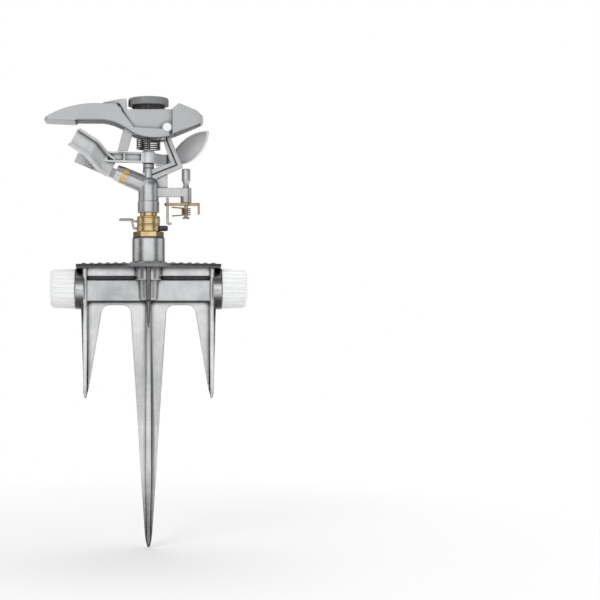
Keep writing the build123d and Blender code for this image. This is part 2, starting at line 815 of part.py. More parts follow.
with BuildPart() as head_body:
    # Skirt and upright barrel, with the seam line between them, and the round of the elbow
    with BuildSketch(Plane.XY.offset(skirt_z)):
        Circle(skirt_radius)
    extrude(amount=skirt_height)
    with BuildSketch(Plane.XY.offset(barrel_z)):
        Circle(barrel_radius)
    extrude(amount=barrel_height)
    with Locations(elbow_point):
        Sphere(barrel_radius)

    # Barrel that carries the nozzle
    with BuildSketch(jet_cross):
        Circle(jet_barrel_radius)
    extrude(amount=jet_barrel_length)

    # Bridge: a bent strip with a long groove in each side
    with BuildSketch(Plane.XZ):
        Polygon(*bridge_outline, align=None)
    extrude(amount=bridge_depth / 2, both=True)
    with BuildSketch(Plane.XY.offset(elbow_z)):
        Circle(pin_boss_radius)
    extrude(amount=pin_boss_rise)
    for side in (-1, 1):
        with BuildSketch(Plane.XZ.offset(side * bridge_depth / 2)):
            with BuildLine():
                Polyline(bridge_groove)
            trace(line_width=bridge_groove_width)
        extrude(amount=-side * bridge_groove_depth, mode=Mode.SUBTRACT)

    # Wings of the bridge top, where the cover is screwed on
    with BuildSketch(Plane.XY.offset(bridge_bar_z)):
        with Locations(((wing_left_x + wing_right_x) / 2, 0)):
            RectangleRounded(wing_length, 2 * wing_half_width, wing_length / 4)
    extrude(amount=bridge_top_thickness)

    # Trip bracket with its pivot boss, and the strut up to the bridge
    with BuildSketch(Plane.XY.offset(bracket_z)):
        with Locations((trip_axis_x / 2, 0)):
            Rectangle(trip_axis_x, 2 * bracket_half_width)
    extrude(amount=bracket_thickness)
    with BuildSketch(Plane.XY.offset(trip_boss_z)):
        with Locations((trip_axis_x, 0)):
            Circle(bracket_boss_radius)
    extrude(amount=bracket_top_z - trip_boss_z)
    with BuildSketch(Plane.XZ):
        Polygon((barrel_radius / 2, bracket_middle_z), (strut_right_x, bracket_middle_z),
                (strut_right_x, bridge_corner[1] - bridge_foot_rise), (barrel_radius / 2, bridge_foot[1]),
                align=None)
    extrude(amount=strut_half_width, both=True)

    # Spring cavity, sleeve seat and water way
    with BuildSketch(Plane.XY.offset(skirt_z)):
        Circle(skirt_radius - skirt_wall)
    extrude(amount=skirt_cavity_height, mode=Mode.SUBTRACT)
    with BuildSketch(Plane.XY.offset(skirt_z)):
        Circle(sleeve_radius + seat_clearance)
    extrude(amount=skirt_cavity_height + sleeve_engagement, mode=Mode.SUBTRACT)
    with BuildSketch(Plane.XY.offset(skirt_z)):
        Circle(water_radius)
    extrude(amount=elbow_z - skirt_z, mode=Mode.SUBTRACT)
    with Locations(elbow_point):
        Sphere(water_radius, mode=Mode.SUBTRACT)
    with BuildSketch(jet_cross):
        Circle(water_radius)
    extrude(amount=jet_barrel_length, mode=Mode.SUBTRACT)
    with BuildSketch(jet_cross.offset(jet_barrel_length - nozzle_shank_length)):
        Circle(nozzle_shank_radius + seat_clearance)
    extrude(amount=nozzle_shank_length, mode=Mode.SUBTRACT)

    # Holes for the fulcrum pin, the trip pin and the cover screws
    with BuildSketch(Plane.XY.offset(pin_bottom_z)):
        Circle(pin_radius + seat_clearance)
    extrude(amount=bridge_top_z - pin_bottom_z, mode=Mode.SUBTRACT)
    with BuildSketch(Plane.XY.offset(trip_boss_z)):
        with Locations((trip_axis_x, 0)):
            Circle(trip_pin_radius + running_clearance)
    extrude(amount=bracket_top_z - trip_boss_z, mode=Mode.SUBTRACT)
    with BuildSketch(Plane.XY.offset(bridge_bar_z)):
        with Locations((wing_screw_x, -wing_screw_y), (wing_screw_x, wing_screw_y)):
            Circle(screw_radius + seat_clearance)
    extrude(amount=bridge_top_thickness, mode=Mode.SUBTRACT)

keep(head_body.part, "head_body")

# Nozzle, nozzle tip and stream straightener

nozzle_start = jet_barrel_length - nozzle_shank_length
nozzle_tip_start = jet_barrel_length + nozzle_ring_length

with BuildPart() as nozzle:
    with BuildSketch(jet_cross.offset(nozzle_start)):
        Circle(nozzle_shank_radius)
    extrude(amount=nozzle_shank_length)
    with BuildSketch(jet_cross.offset(jet_barrel_length)):
        RegularPolygon(nozzle_hex_across_flats / 2, 6, major_radius=False)
        Circle(jet_barrel_radius, mode=Mode.INTERSECT)
    extrude(amount=nozzle_ring_length)
    with BuildSketch(jet_cross.offset(nozzle_start)):
        Circle(nozzle_bore_radius)
    extrude(amount=nozzle_shank_length + nozzle_ring_length, mode=Mode.SUBTRACT)
keep(nozzle.part, "nozzle")

with BuildPart() as nozzle_tip:
    with BuildSketch(jet_cross.offset(nozzle_tip_start)):
        Circle(nozzle_tip_radius)
    with BuildSketch(jet_cross.offset(nozzle_tip_start + nozzle_tip_length)):
        Circle(nozzle_tip_mouth_radius)
    loft()
    with BuildSketch(jet_cross.offset(nozzle_tip_start)):
        Circle(nozzle_bore_radius)
    with BuildSketch(jet_cross.offset(nozzle_tip_start + nozzle_tip_length)):
        Circle(nozzle_tip_bore_radius)
    loft(mode=Mode.SUBTRACT)
keep(nozzle_tip.part, "nozzle_tip")

with BuildPart() as stream_straightener:
    with BuildSketch(jet_cross.offset(nozzle_start - vane_length)):
        Rectangle(2 * water_radius, vane_thickness)
        Rectangle(vane_thickness, 2 * water_radius)
        Circle(water_radius - seat_clearance, mode=Mode.INTERSECT)
    extrude(amount=vane_length)
keep(stream_straightener.part, "stream_straightener")

# Fulcrum pin, its collar and washer, and the arm spring

with BuildPart() as fulcrum_pin:
    with BuildSketch(Plane.XY.offset(pin_bottom_z)):
        Circle(pin_radius)
    extrude(amount=bridge_top_z - pin_bottom_z)
keep(fulcrum_pin.part, "fulcrum_pin")

with BuildPart() as pin_collar:
    with BuildSketch(Plane.XY.offset(boss_top_z)):
        Circle(pin_collar_radius)
        Circle(pin_radius + seat_clearance, mode=Mode.SUBTRACT)
    extrude(amount=pin_collar_height)
    chamfer(pin_collar.edges().filter_by(GeomType.CIRCLE).sort_by(SortBy.RADIUS)[-2:], length=2 * face_gap)
keep(pin_collar.part, "pin_collar")

with BuildPart() as arm_washer:
    with BuildSketch(Plane.XY.offset(washer_z)):
        Circle(pin_washer_radius)
        Circle(pin_radius + seat_clearance, mode=Mode.SUBTRACT)
    extrude(amount=pin_washer_thickness)
keep(arm_washer.part, "arm_washer")

arm_spring_frame = Plane(origin=(0, 0, arm_spring_z), x_dir=(0, -1, 0), z_dir=(0, 0, 1))
wound_spring("arm_spring", arm_spring_frame, arm_spring_radius, arm_spring_pitch, arm_spring_turns,
             arm_spring_wire, arm_spring_leg, arm_spring_leg)

# Drive arm: hub, beam, spoon and leaf tail in one casting

beam_z = hub_z + (hub_height - beam_height) / 2
beam_length = math.hypot(beam_reach, beam_side_step)
beam_bearing = 180 + arm_rest_angle + math.degrees(math.atan2(beam_side_step, beam_reach))
beam_plane = upright_plane((0, 0, beam_z), beam_bearing)
tail_plane = upright_plane((0, 0, beam_z), leaf_bearing)
leaf_foot = (leaf_distance * math.cos(math.radians(leaf_bearing)),
             leaf_distance * math.sin(math.radians(leaf_bearing)), beam_z)
leaf_plane = upright_plane(leaf_foot, leaf_bearing - 90)
spoon_cos = math.cos(math.radians(spoon_rise_angle))
spoon_sin = math.sin(math.radians(spoon_rise_angle))
spoon_plane = Plane(origin=(0, 0, spoon_level),
                    x_dir=(-arm_cos * spoon_cos, -arm_sin * spoon_cos, spoon_sin),
                    z_dir=(arm_cos * spoon_sin, arm_sin * spoon_sin, spoon_cos))


def spoon_route(shift):
    # Bent line of the spoon in its slanted plane, moved sideways by a shift
    route = ((spoon_start_reach, spoon_start_side), (spoon_elbow_reach, spoon_elbow_side),
             (spoon_knee_reach, spoon_knee_side), (spoon_end_reach, spoon_end_side))
    return [(reach / spoon_cos, side + shift) for reach, side in route]


flange_shift = (spoon_flange_width - spoon_thickness) / 2 - spoon_flange_lip
spoon_flange_level = spoon_width / 2 - spoon_flange_thickness
bush_radius = pin_radius + running_clearance + arm_bush_wall
pocket_length = (beam_length - hub_radius) / 2 - 2 * beam_pocket_margin
pocket_height = beam_height - 2 * beam_pocket_margin

with BuildPart() as drive_arm:
    with BuildSketch(Plane.XY.offset(hub_z)):
        Circle(hub_radius)
    extrude(amount=hub_height)

    # Beam with pockets in both sides
    with BuildSketch(beam_plane):
        Rectangle(beam_length, beam_height, align=(Align.MIN, Align.MIN))
    extrude(amount=beam_width / 2, both=True)
    for side in (-1, 1):
        with BuildSketch(beam_plane.offset(side * beam_width / 2)):
            for step in range(2):
                pocket_start = hub_radius + beam_pocket_margin + step * (pocket_length + beam_pocket_margin)
                with Locations((pocket_start, beam_pocket_margin)):
                    Rectangle(pocket_length, pocket_height, align=(Align.MIN, Align.MIN))
        extrude(amount=-side * beam_pocket_depth, mode=Mode.SUBTRACT)

    # Spoon: a bent web with a flange on each edge, slanted along the jet
    for level, height, shift, width in (
            (-spoon_width / 2, spoon_width, 0, spoon_thickness),
            (spoon_flange_level, spoon_flange_thickness, flange_shift, spoon_flange_width),
            (-spoon_width / 2, spoon_flange_thickness, -flange_shift, spoon_flange_width)):
        with BuildSketch(spoon_plane.offset(level)):
            with BuildLine():
                FilletPolyline(*spoon_route(shift), radius=spoon_bend_radius)
            trace(line_width=width)
        extrude(amount=height)

    # Tail beam and leaf
    with BuildSketch(tail_plane):
        Rectangle(leaf_distance, beam_height, align=(Align.MIN, Align.MIN))
    extrude(amount=tail_width / 2, both=True)
    with BuildSketch(leaf_plane) as leaf_sketch:
        with BuildLine():
            Polyline((leaf_neck, leaf_neck_rise), (leaf_start, beam_height), (leaf_start, 0),
                     (leaf_root, 0))
            ThreePointArc((leaf_root, 0), (leaf_belly, leaf_belly_rise), (leaf_tip, leaf_tip_rise))
            ThreePointArc((leaf_tip, leaf_tip_rise), (leaf_back, leaf_back_rise),
                          (leaf_neck, leaf_neck_rise))
        make_face()
    extrude(amount=leaf_thickness / 2, both=True)

    # Sunk field of the leaf on both faces, inside its rim
    leaf_field = offset(leaf_sketch.sketch, amount=-leaf_rim_width, mode=Mode.PRIVATE)
    for side in (-1, 1):
        field_shift = leaf_plane.z_dir * side * (leaf_thickness / 2 - leaf_field_depth)
        extrude(leaf_field.moved(Location(field_shift)), amount=leaf_field_depth,
                dir=leaf_plane.z_dir * side, mode=Mode.SUBTRACT)

    # Bore for the bush
    with BuildSketch(Plane.XY.offset(hub_z)):
        Circle(bush_radius + seat_clearance)
    extrude(amount=hub_height, mode=Mode.SUBTRACT)
keep(drive_arm.part, "drive_arm")

with BuildPart() as arm_bush:
    with BuildSketch(Plane.XY.offset(hub_z)):
        Circle(bush_radius)
        Circle(pin_radius + running_clearance, mode=Mode.SUBTRACT)
    extrude(amount=hub_height)
keep(arm_bush.part, "arm_bush")

# Trip mechanism: pin, post, lever, wire and spring

trip_axis = Axis((trip_axis_x, 0, 0), (0, 0, 1))
trip_pin_z = trip_boss_z - trip_pin_drop
trip_post_z = bracket_top_z + face_gap
trip_post_top_z = elbow_z + trip_post_rise
trip_neck_z = elbow_z + trip_post_cone_rise
trip_wire_top_z = bracket_z - 2 * face_gap
trip_wire_foot_z = collar_lower_middle_z + tab_radius + 2 * face_gap + trip_wire_radius

with BuildPart() as trip_pin:
    with BuildSketch(Plane.XY.offset(trip_pin_z)):
        with Locations((trip_axis_x, 0)):
            Circle(trip_pin_radius)
    extrude(amount=trip_post_z + trip_pin_grip - trip_pin_z)
    with BuildSketch(Plane.XY.offset(trip_pin_z)):
        with Locations((trip_axis_x, 0)):
            Circle(trip_pin_foot_radius)
    extrude(amount=trip_pin_foot_height, taper=trip_pin_foot_draft)
keep(trip_pin.part, "trip_pin")

with BuildPart() as trip_post:
    with BuildSketch(Plane.XZ):
        Polygon((trip_axis_x, trip_post_z), (trip_axis_x + trip_post_foot_radius, trip_post_z),
                (trip_axis_x + trip_post_neck_radius, (trip_post_z + trip_neck_z) / 2),
                (trip_axis_x + trip_post_radius, trip_neck_z),
                (trip_axis_x + trip_post_radius, trip_post_top_z), (trip_axis_x, trip_post_top_z),
                align=None)
    revolve(axis=trip_axis)
    fillet(trip_post.edges().group_by(Axis.Z)[-1], radius=trip_post_radius / 3)
    with BuildSketch(Plane.XY.offset(trip_post_z)):
        with Locations((trip_axis_x, 0)):
            Circle(trip_pin_radius + seat_clearance)
    extrude(amount=trip_pin_grip, mode=Mode.SUBTRACT)
keep(trip_post.part, "trip_post")

with BuildPart() as trip_lever:
    with BuildSketch(Plane.XY.offset(trip_lever_z)):
        with Locations((trip_axis_x, 0)):
            Circle(trip_lever_hub_radius)
        with Locations((trip_wire_x, 0)):
            Circle(trip_lever_width / 2)
        make_hull()
        with Locations((trip_axis_x, 0)):
            Rectangle(trip_thumb_reach, trip_lever_width, align=(Align.MIN, Align.CENTER))
            Circle(trip_pin_radius + seat_clearance, mode=Mode.SUBTRACT)
        with Locations((trip_wire_x, 0)):
            Circle(trip_wire_radius + seat_clearance, mode=Mode.SUBTRACT)
    extrude(amount=trip_lever_thickness)
    with BuildSketch(Plane.XY.offset(trip_lever_z - trip_thumb_drop)):
        with Locations((trip_axis_x + trip_thumb_reach, 0)):
            Rectangle(trip_thumb_thickness, trip_lever_width, align=(Align.MAX, Align.CENTER))
    extrude(amount=trip_thumb_drop)
keep(trip_lever.part, "trip_lever")

with BuildPart() as trip_wire:
    with BuildLine(Plane.XZ) as trip_line:
        FilletPolyline((trip_wire_x, trip_wire_top_z), (trip_wire_x, trip_wire_foot_z),
                       (trip_wire_x + trip_wire_foot, trip_wire_foot_z), radius=trip_wire_bend)
    with BuildSketch(Plane(origin=trip_line.line @ 0, z_dir=trip_line.line % 0)):
        Circle(trip_wire_radius)
    sweep(path=trip_line.line)
keep(trip_wire.part, "trip_wire")

trip_spring_frame = Plane(origin=(trip_axis_x, 0, trip_pin_z + trip_spring_rise), x_dir=(0, -1, 0),
                          z_dir=(0, 0, 1))
wound_spring("trip_spring", trip_spring_frame, trip_spring_radius, trip_spring_pitch, trip_spring_turns,
             trip_spring_wire, trip_spring_leg, trip_spring_leg)

# Jet breaker: strap on the barrel, screw and spring

breaker_boss_back = strap_side + strap_thickness / 2
breaker_head_side = breaker_boss_back + breaker_spring_length

with BuildPart() as breaker_strap:
    with BuildSketch(jet_plan.offset(-strap_height / 2)):
        with BuildLine():
            FilletPolyline((strap_root, -jet_barrel_radius / 2), (strap_shoulder, -strap_side),
                           (strap_end, -strap_side), radius=strap_bend_radius)
        trace(line_width=strap_thickness)
    extrude(amount=strap_height)
    with BuildSketch(jet_side.offset(strap_side - strap_thickness)):
        with Locations((breaker_reach, 0)):
            Circle(breaker_boss_radius)
    extrude(amount=breaker_boss_back - strap_side + strap_thickness)
    with BuildSketch(jet_side):
        with Locations((breaker_reach, 0)):
            Circle(breaker_screw_radius + running_clearance)
    extrude(amount=2 * strap_side, mode=Mode.SUBTRACT)
    with BuildSketch(jet_cross):
        Circle(jet_barrel_radius + seat_clearance)
    extrude(amount=jet_barrel_length + nozzle_ring_length, mode=Mode.SUBTRACT)
    with Locations(elbow_point):
        Sphere(barrel_radius + seat_clearance, mode=Mode.SUBTRACT)
keep(breaker_strap.part, "breaker_strap")

with BuildPart() as breaker_screw:
    with BuildSketch(jet_side.offset(breaker_tip_side)):
        with Locations((breaker_reach, 0)):
            Circle(breaker_screw_radius)
    extrude(amount=breaker_head_side - breaker_tip_side)
    chamfer(breaker_screw.edges().sort_by(Axis.Y)[0], length=breaker_point)
    with BuildSketch(jet_side.offset(breaker_head_side)):
        with Locations((breaker_reach, 0)):
            Circle(breaker_head_radius)
    extrude(amount=breaker_head_height)
    with BuildSketch(jet_side.offset(breaker_head_side + breaker_head_height - breaker_slot_depth)):
        with Locations((breaker_reach, 0)):
            Rectangle(2 * breaker_head_radius, breaker_slot_width)
    extrude(amount=breaker_slot_depth, mode=Mode.SUBTRACT)
keep(breaker_screw.part, "breaker_screw")

breaker_spring_origin = jet_side.from_local_coords(
    Vector(breaker_reach, 0, breaker_boss_back + breaker_spring_wire))
breaker_spring_frame = Plane(origin=breaker_spring_origin, x_dir=(0, 0, 1), z_dir=(0, 1, 0))
wound_spring("breaker_spring", breaker_spring_frame, breaker_spring_radius, breaker_spring_pitch,
             breaker_spring_turns, breaker_spring_wire, breaker_spring_wire, breaker_spring_wire)

# Cover: side and plan outlines, with heights above the bridge top

cover_reach = 2 * flap_arm_half_width
cover_depth = 4 * bridge_top_rise
shell_front_x = shell_shoulder_x + flap_wall + seam_gap
flap_heel_x = pivot_x + pivot_boss_radius / 2
flap_arm_inner = flap_arm_half_width - flap_arm_wall
shell_half_width = flap_arm_inner - seam_gap
shell_flare_half_width = flap_arm_half_width - face_gap
beak_inner_x = flap_tip_x + flap_arm_wall
flap_under_rise = flap_top_rise - flap_wall
tongue_top_rise = cam_rise - face_gap
tongue_under_rise = tongue_top_rise - tongue_thickness
tail_inner_x = shell_tail_x - shell_wall
flare_inner_x = shell_flare_x + shell_wall
leg_side = shell_half_width - shell_wall
leg_inner_x = flap_arm_x + leg_width / 2


def cover_point(x, rise):
    return (x, bridge_top_z + rise)


def plan_outline(stations):
    # Closed outline that is the same on both sides of the middle line
    return [(x, half) for x, half in stations] + [(x, -half) for x, half in reversed(stations)]


flap_stations = ((flap_tip_x, flap_beak_half_width), (flap_flare_x, flap_flare_half_width),
                 (flap_arm_x, flap_arm_half_width), (pivot_x + pivot_boss_radius, flap_arm_half_width))
flap_inner_stations = ((beak_inner_x, flap_beak_half_width - flap_arm_wall),
                       (flap_flare_x, flap_flare_half_width - flap_arm_wall),
                       (flap_arm_x, flap_arm_inner), (pivot_x + 2 * pivot_boss_radius, flap_arm_inner))
shell_stations = ((shell_nose_x, shell_nose_half_width), (shell_shoulder_x, shell_shoulder_half_width),
                  (shell_waist_x, shell_half_width), (shell_flare_x, shell_half_width),
                  (shell_flare_x, shell_flare_half_width), (shell_tail_x, shell_tail_half_width))
shell_inner_stations = ((shell_nose_x - seam_gap, shell_nose_half_width - shell_wall),
                        (shell_shoulder_x, shell_shoulder_half_width - shell_wall),
                        (shell_waist_x, shell_half_width - shell_wall),
                        (flare_inner_x, shell_half_width - shell_wall),
                        (flare_inner_x, shell_flare_half_width - shell_wall),
                        (tail_inner_x, shell_tail_half_width - shell_wall))

with BuildPart() as flap_cavity:
    with BuildSketch(Plane.XZ):
        with BuildLine():
            ThreePointArc(cover_point(beak_inner_x, flap_tip_rise + flap_tip_height),
                          cover_point(flap_brow_x, flap_brow_rise - flap_wall),
                          cover_point(shell_nose_x, flap_under_rise))
            Polyline(cover_point(shell_nose_x, flap_under_rise), cover_point(shell_front_x, flap_under_rise),
                     cover_point(shell_front_x, cover_depth), cover_point(cover_reach, cover_depth),
                     cover_point(cover_reach, -cover_depth), cover_point(flap_floor_x, -cover_depth),
                     cover_point(flap_floor_x, flap_tip_rise + flap_floor_thickness),
                     cover_point(beak_inner_x, flap_tip_rise + flap_floor_thickness / 2),
                     cover_point(beak_inner_x, flap_tip_rise + flap_tip_height))
        make_face()
    extrude(amount=cover_reach, both=True)
    with BuildSketch(Plane.XY.offset(bridge_top_z)):
        Polygon(*plan_outline(flap_inner_stations), align=None)
    extrude(amount=cover_depth, both=True, mode=Mode.INTERSECT)

with BuildPart() as deflector_flap:
    # Beak, cheeks and the two arms that run back to the pivots
    with BuildSketch(Plane.XZ):
        with BuildLine():
            ThreePointArc(cover_point(flap_tip_x, flap_tip_rise + flap_tip_height),
                          cover_point(flap_brow_x, flap_brow_rise), cover_point(shell_nose_x, flap_top_rise))
            Polyline(cover_point(shell_nose_x, flap_top_rise), cover_point(shell_shoulder_x, flap_top_rise),
                     cover_point(flap_arm_x, flap_arm_rise + flap_arm_step),
                     cover_point(pivot_x - pivot_boss_radius, flap_arm_rise),
                     cover_point(pivot_x, pivot_rise), cover_point(flap_heel_x, pivot_rise - flap_heel_drop))
            ThreePointArc(cover_point(flap_heel_x, pivot_rise - flap_heel_drop),
                          cover_point(flap_sag_x, flap_sag_rise), cover_point(flap_belly_x, flap_belly_rise))
            Spline(cover_point(flap_belly_x, flap_belly_rise), cover_point(flap_cheek_x, flap_cheek_rise),
                   cover_point(flap_flare_x, flap_edge_rise))
            Polyline(cover_point(flap_flare_x, flap_edge_rise),
                     cover_point(flap_floor_x + flap_wall, flap_edge_rise),
                     cover_point(flap_floor_x, flap_tip_rise - flap_wall / 2),
                     cover_point(flap_tip_x, flap_tip_rise),
                     cover_point(flap_tip_x, flap_tip_rise + flap_tip_height))
        make_face()
        with Locations(cover_point(pivot_x, pivot_rise)):
            Circle(pivot_boss_radius)
    extrude(amount=cover_reach, both=True)
    with BuildSketch(Plane.XY.offset(bridge_top_z)) as flap_plan:
        Polygon(*plan_outline(flap_stations), align=None)
        fillet(flap_plan.vertices().group_by(Axis.X)[0], radius=flap_beak_round)
    extrude(amount=cover_depth, both=True, mode=Mode.INTERSECT)
    add(flap_cavity.part, mode=Mode.SUBTRACT)

    # Tongue that the cam of the knob presses down
    with BuildSketch(Plane.XZ):
        Polygon(cover_point(shell_nose_x, flap_top_rise - flap_wall / 2),
                cover_point(shell_front_x - seam_gap, flap_top_rise - flap_wall / 2),
                cover_point(tongue_knee_x, tongue_knee_rise), cover_point(tongue_bend_x, tongue_top_rise),
                cover_point(tongue_tip_x, tongue_top_rise), cover_point(tongue_tip_x, tongue_under_rise),
                cover_point(tongue_bend_x, tongue_under_rise),
                cover_point(tongue_knee_x - tongue_thickness, tongue_knee_rise - tongue_thickness),
                align=None)
    extrude(amount=tongue_half_width, both=True)

    # Pivot holes and the recesses of the pin heads
    for side in (-1, 1):
        with BuildSketch(Plane.XZ.offset(side * flap_arm_half_width)):
            with Locations(cover_point(pivot_x, pivot_rise)):
                Circle(pivot_head_radius + seam_gap / 2)
        extrude(amount=-side * (pivot_head_height + seat_clearance), mode=Mode.SUBTRACT)
    with BuildSketch(Plane.XZ):
        with Locations(cover_point(pivot_x, pivot_rise)):
            Circle(pivot_pin_radius + running_clearance)
    extrude(amount=cover_reach, both=True, mode=Mode.SUBTRACT)
keep(deflector_flap.part, "deflector_flap")

with BuildPart() as shell_cavity:
    with BuildSketch(Plane.XZ):
        Polygon(cover_point(shell_nose_x, -cover_depth),
                cover_point(shell_nose_x, nose_rise - shell_wall / 2),
                cover_point(seat_start_x - roof_wall, nose_rise - shell_wall / 2),
                cover_point(seat_start_x - shell_wall, seat_rise - shell_wall),
                cover_point(seat_end_x + shell_wall / 2, seat_rise - shell_wall),
                cover_point(hump_x, hump_rise - roof_wall),
                cover_point(tail_top_x - shell_wall / 2, tail_top_rise - shell_wall),
                cover_point(tail_inner_x, tail_rise - roof_wall), cover_point(tail_inner_x, -cover_depth),
                align=None)
    extrude(amount=cover_reach, both=True)
    with BuildSketch(Plane.XY.offset(bridge_top_z)):
        Polygon(*plan_outline(shell_inner_stations), align=None)
    extrude(amount=cover_depth, both=True, mode=Mode.INTERSECT)

with BuildPart() as cover_shell:
    # Nose pad, knob seat, hump and tail
    with BuildSketch(Plane.XZ):
        Polygon(cover_point(shell_nose_x, flap_top_rise + seam_gap),
                cover_point(shell_nose_x, nose_rise + seam_gap), cover_point(nose_top_x, nose_top_rise),
                cover_point(seat_start_x - seam_gap, nose_top_rise), cover_point(seat_start_x, seat_rise),
                cover_point(seat_end_x, seat_rise), cover_point(hump_x, hump_rise),
                cover_point(tail_top_x, tail_top_rise), cover_point(shell_tail_x - seam_gap, tail_rise),
                cover_point(shell_tail_x, tail_bottom_rise), cover_point(shell_flare_x, shell_bottom_rise),
                cover_point(flap_arm_x, shell_bottom_rise), cover_point(flap_arm_x, flap_arm_rise),
                cover_point(shell_front_x, flap_top_rise + seam_gap), align=None)
    extrude(amount=cover_reach, both=True)
    with BuildSketch(Plane.XY.offset(bridge_top_z)) as shell_plan:
        Polygon(*plan_outline(shell_stations), align=None)
        fillet(shell_plan.vertices().group_by(Axis.X)[-1], radius=shell_tail_round)
        fillet(shell_plan.vertices().group_by(Axis.X)[0], radius=flap_beak_round)
    extrude(amount=cover_depth, both=True, mode=Mode.INTERSECT)
    add(shell_cavity.part, mode=Mode.SUBTRACT)

    # Screw bosses on the bridge wings
    with BuildSketch(Plane.XY.offset(bridge_top_z)):
        with Locations((wing_screw_x, -wing_screw_y), (wing_screw_x, wing_screw_y)):
            Circle(screw_radius + seat_clearance + screw_boss_wall)
    extrude(amount=seat_rise - shell_wall / 2)
    with BuildSketch(Plane.XY.offset(bridge_top_z)):
        with Locations((wing_screw_x, -wing_screw_y), (wing_screw_x, wing_screw_y)):
            Circle(screw_radius + seat_clearance)
    extrude(amount=screw_hole_depth, mode=Mode.SUBTRACT)

    # Anchor leg of the arm spring
    with BuildSketch(Plane.XZ.offset(leg_side + seam_gap)):
        Polygon(cover_point(flap_arm_x - flap_wall, flap_edge_rise), cover_point(leg_inner_x, flap_edge_rise),
                cover_point(leg_inner_x, shell_bottom_rise), cover_point(leg_top_x, shell_bottom_rise),
                cover_point(leg_bottom_x, -leg_drop), cover_point(leg_bottom_x - leg_width, -leg_drop),
                cover_point(leg_top_x - leg_width, shell_bottom_rise + flap_wall), align=None)
    extrude(amount=-leg_thickness)

    # Holes for the knob spindle and the flap pivots
    with BuildSketch(Plane.XY.offset(bridge_top_z + cam_rise)):
        Circle(spindle_radius + running_clearance)
    extrude(amount=seat_rise, mode=Mode.SUBTRACT)
    with BuildSketch(Plane.XZ):
        with Locations(cover_point(pivot_x, pivot_rise)):
            Circle(pivot_pin_radius + seat_clearance)
    extrude(amount=cover_reach, both=True, mode=Mode.SUBTRACT)
keep(cover_shell.part, "cover_shell")

pin_root = shell_half_width - shell_wall

with BuildPart() as flap_pivot_pins:
    for side in (-1, 1):
        with BuildSketch(Plane.XZ.offset(side * pin_root)):
            with Locations(cover_point(pivot_x, pivot_rise)):
                Circle(pivot_pin_radius)
        extrude(amount=side * (flap_arm_half_width - pivot_head_height - pin_root))
        with BuildSketch(Plane.XZ.offset(side * (flap_arm_half_width - pivot_head_height))):
            with Locations(cover_point(pivot_x, pivot_rise)):
                Circle(pivot_head_radius)
        extrude(amount=side * pivot_head_height)
keep(flap_pivot_pins.part, "flap_pivot_pins")

with BuildPart() as cover_screws:
    for side in (-1, 1):
        with BuildSketch(Plane.XY.offset(bridge_bar_z)):
            with Locations((wing_screw_x, side * wing_screw_y)):
                Circle(screw_radius)
        extrude(amount=bridge_top_thickness + screw_grip)
        with BuildSketch(Plane.XY.offset(bridge_bar_z)):
            with Locations((wing_screw_x, side * wing_screw_y)):
                Circle(screw_head_radius)
        extrude(amount=-screw_head_height)
keep(cover_screws.part, "cover_screws")

# Range knob, its button, and the spindle with the stepped cam

knob_z = bridge_top_z + seat_rise + face_gap
knob_rim_z = knob_z + knob_foot_height
knob_top_z = knob_rim_z + knob_rim_height
button_z = knob_top_z - knob_dish_depth - 2 * button_height

with BuildPart() as range_knob:
    with BuildSketch(Plane.XY.offset(knob_z)):
        Circle(knob_foot_radius)
        with PolarLocations(knob_foot_radius, knob_flute_count):
            Circle(knob_flute_radius, mode=Mode.SUBTRACT)
    extrude(amount=knob_foot_height)
    with BuildSketch(Plane.XY.offset(knob_rim_z)):
        Circle(knob_radius)
    extrude(amount=knob_rim_height)
    fillet(range_knob.edges().group_by(Axis.Z)[-1], radius=knob_radius - knob_dish_radius - knob_dish_depth)
    with BuildSketch(Plane.XY.offset(knob_top_z - knob_dish_depth)):
        Circle(knob_dish_radius)
    extrude(amount=knob_dish_depth, mode=Mode.SUBTRACT)
    # Scale bars that grow round the dial
    with BuildSketch(Plane.XY.offset(knob_top_z - knob_dish_depth - knob_bar_depth)):
        for step in range(knob_bar_count):
            bar_angle = 90 - step * knob_bar_sweep / knob_bar_count
            with PolarLocations(knob_bar_ring_radius, 1, start_angle=bar_angle):
                Rectangle(knob_bar_width + step * knob_bar_widening,
                          knob_bar_length + step * knob_bar_lengthening)
    extrude(amount=knob_bar_depth, mode=Mode.SUBTRACT)
    with BuildSketch(Plane.XY.offset(button_z)):
        Circle(button_radius + seat_clearance)
    extrude(amount=knob_top_z - button_z, mode=Mode.SUBTRACT)
    with BuildSketch(Plane.XY.offset(knob_z)):
        Circle(spindle_radius + seat_clearance)
    extrude(amount=button_z - knob_z, mode=Mode.SUBTRACT)
keep(range_knob.part, "range_knob")

with BuildPart() as knob_button:
    with BuildSketch(Plane.XY.offset(button_z)):
        Circle(button_radius)
    extrude(amount=2 * button_height + knob_dish_depth / 2)
    fillet(knob_button.edges().group_by(Axis.Z)[-1], radius=button_height / 2)
keep(knob_button.part, "knob_button")

cam_z = bridge_top_z + cam_rise

with BuildPart() as knob_spindle:
    with BuildSketch(Plane.XY.offset(cam_z)):
        Circle(cam_radius)
    extrude(amount=cam_base_thickness)
    for step in range(1, cam_step_count):
        with Locations((0, 0, cam_z)):
            Cylinder(cam_radius, step * cam_step_drop, arc_size=cam_step_angle,
                     rotation=(0, 0, 180 - (step + 1) * cam_step_angle),
                     align=(Align.NONE, Align.NONE, Align.MAX))
    with BuildSketch(Plane.XY.offset(cam_z)):
        Circle(spindle_radius)
    extrude(amount=button_z - cam_z)
keep(knob_spindle.part, "knob_spindle")
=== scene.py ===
import math

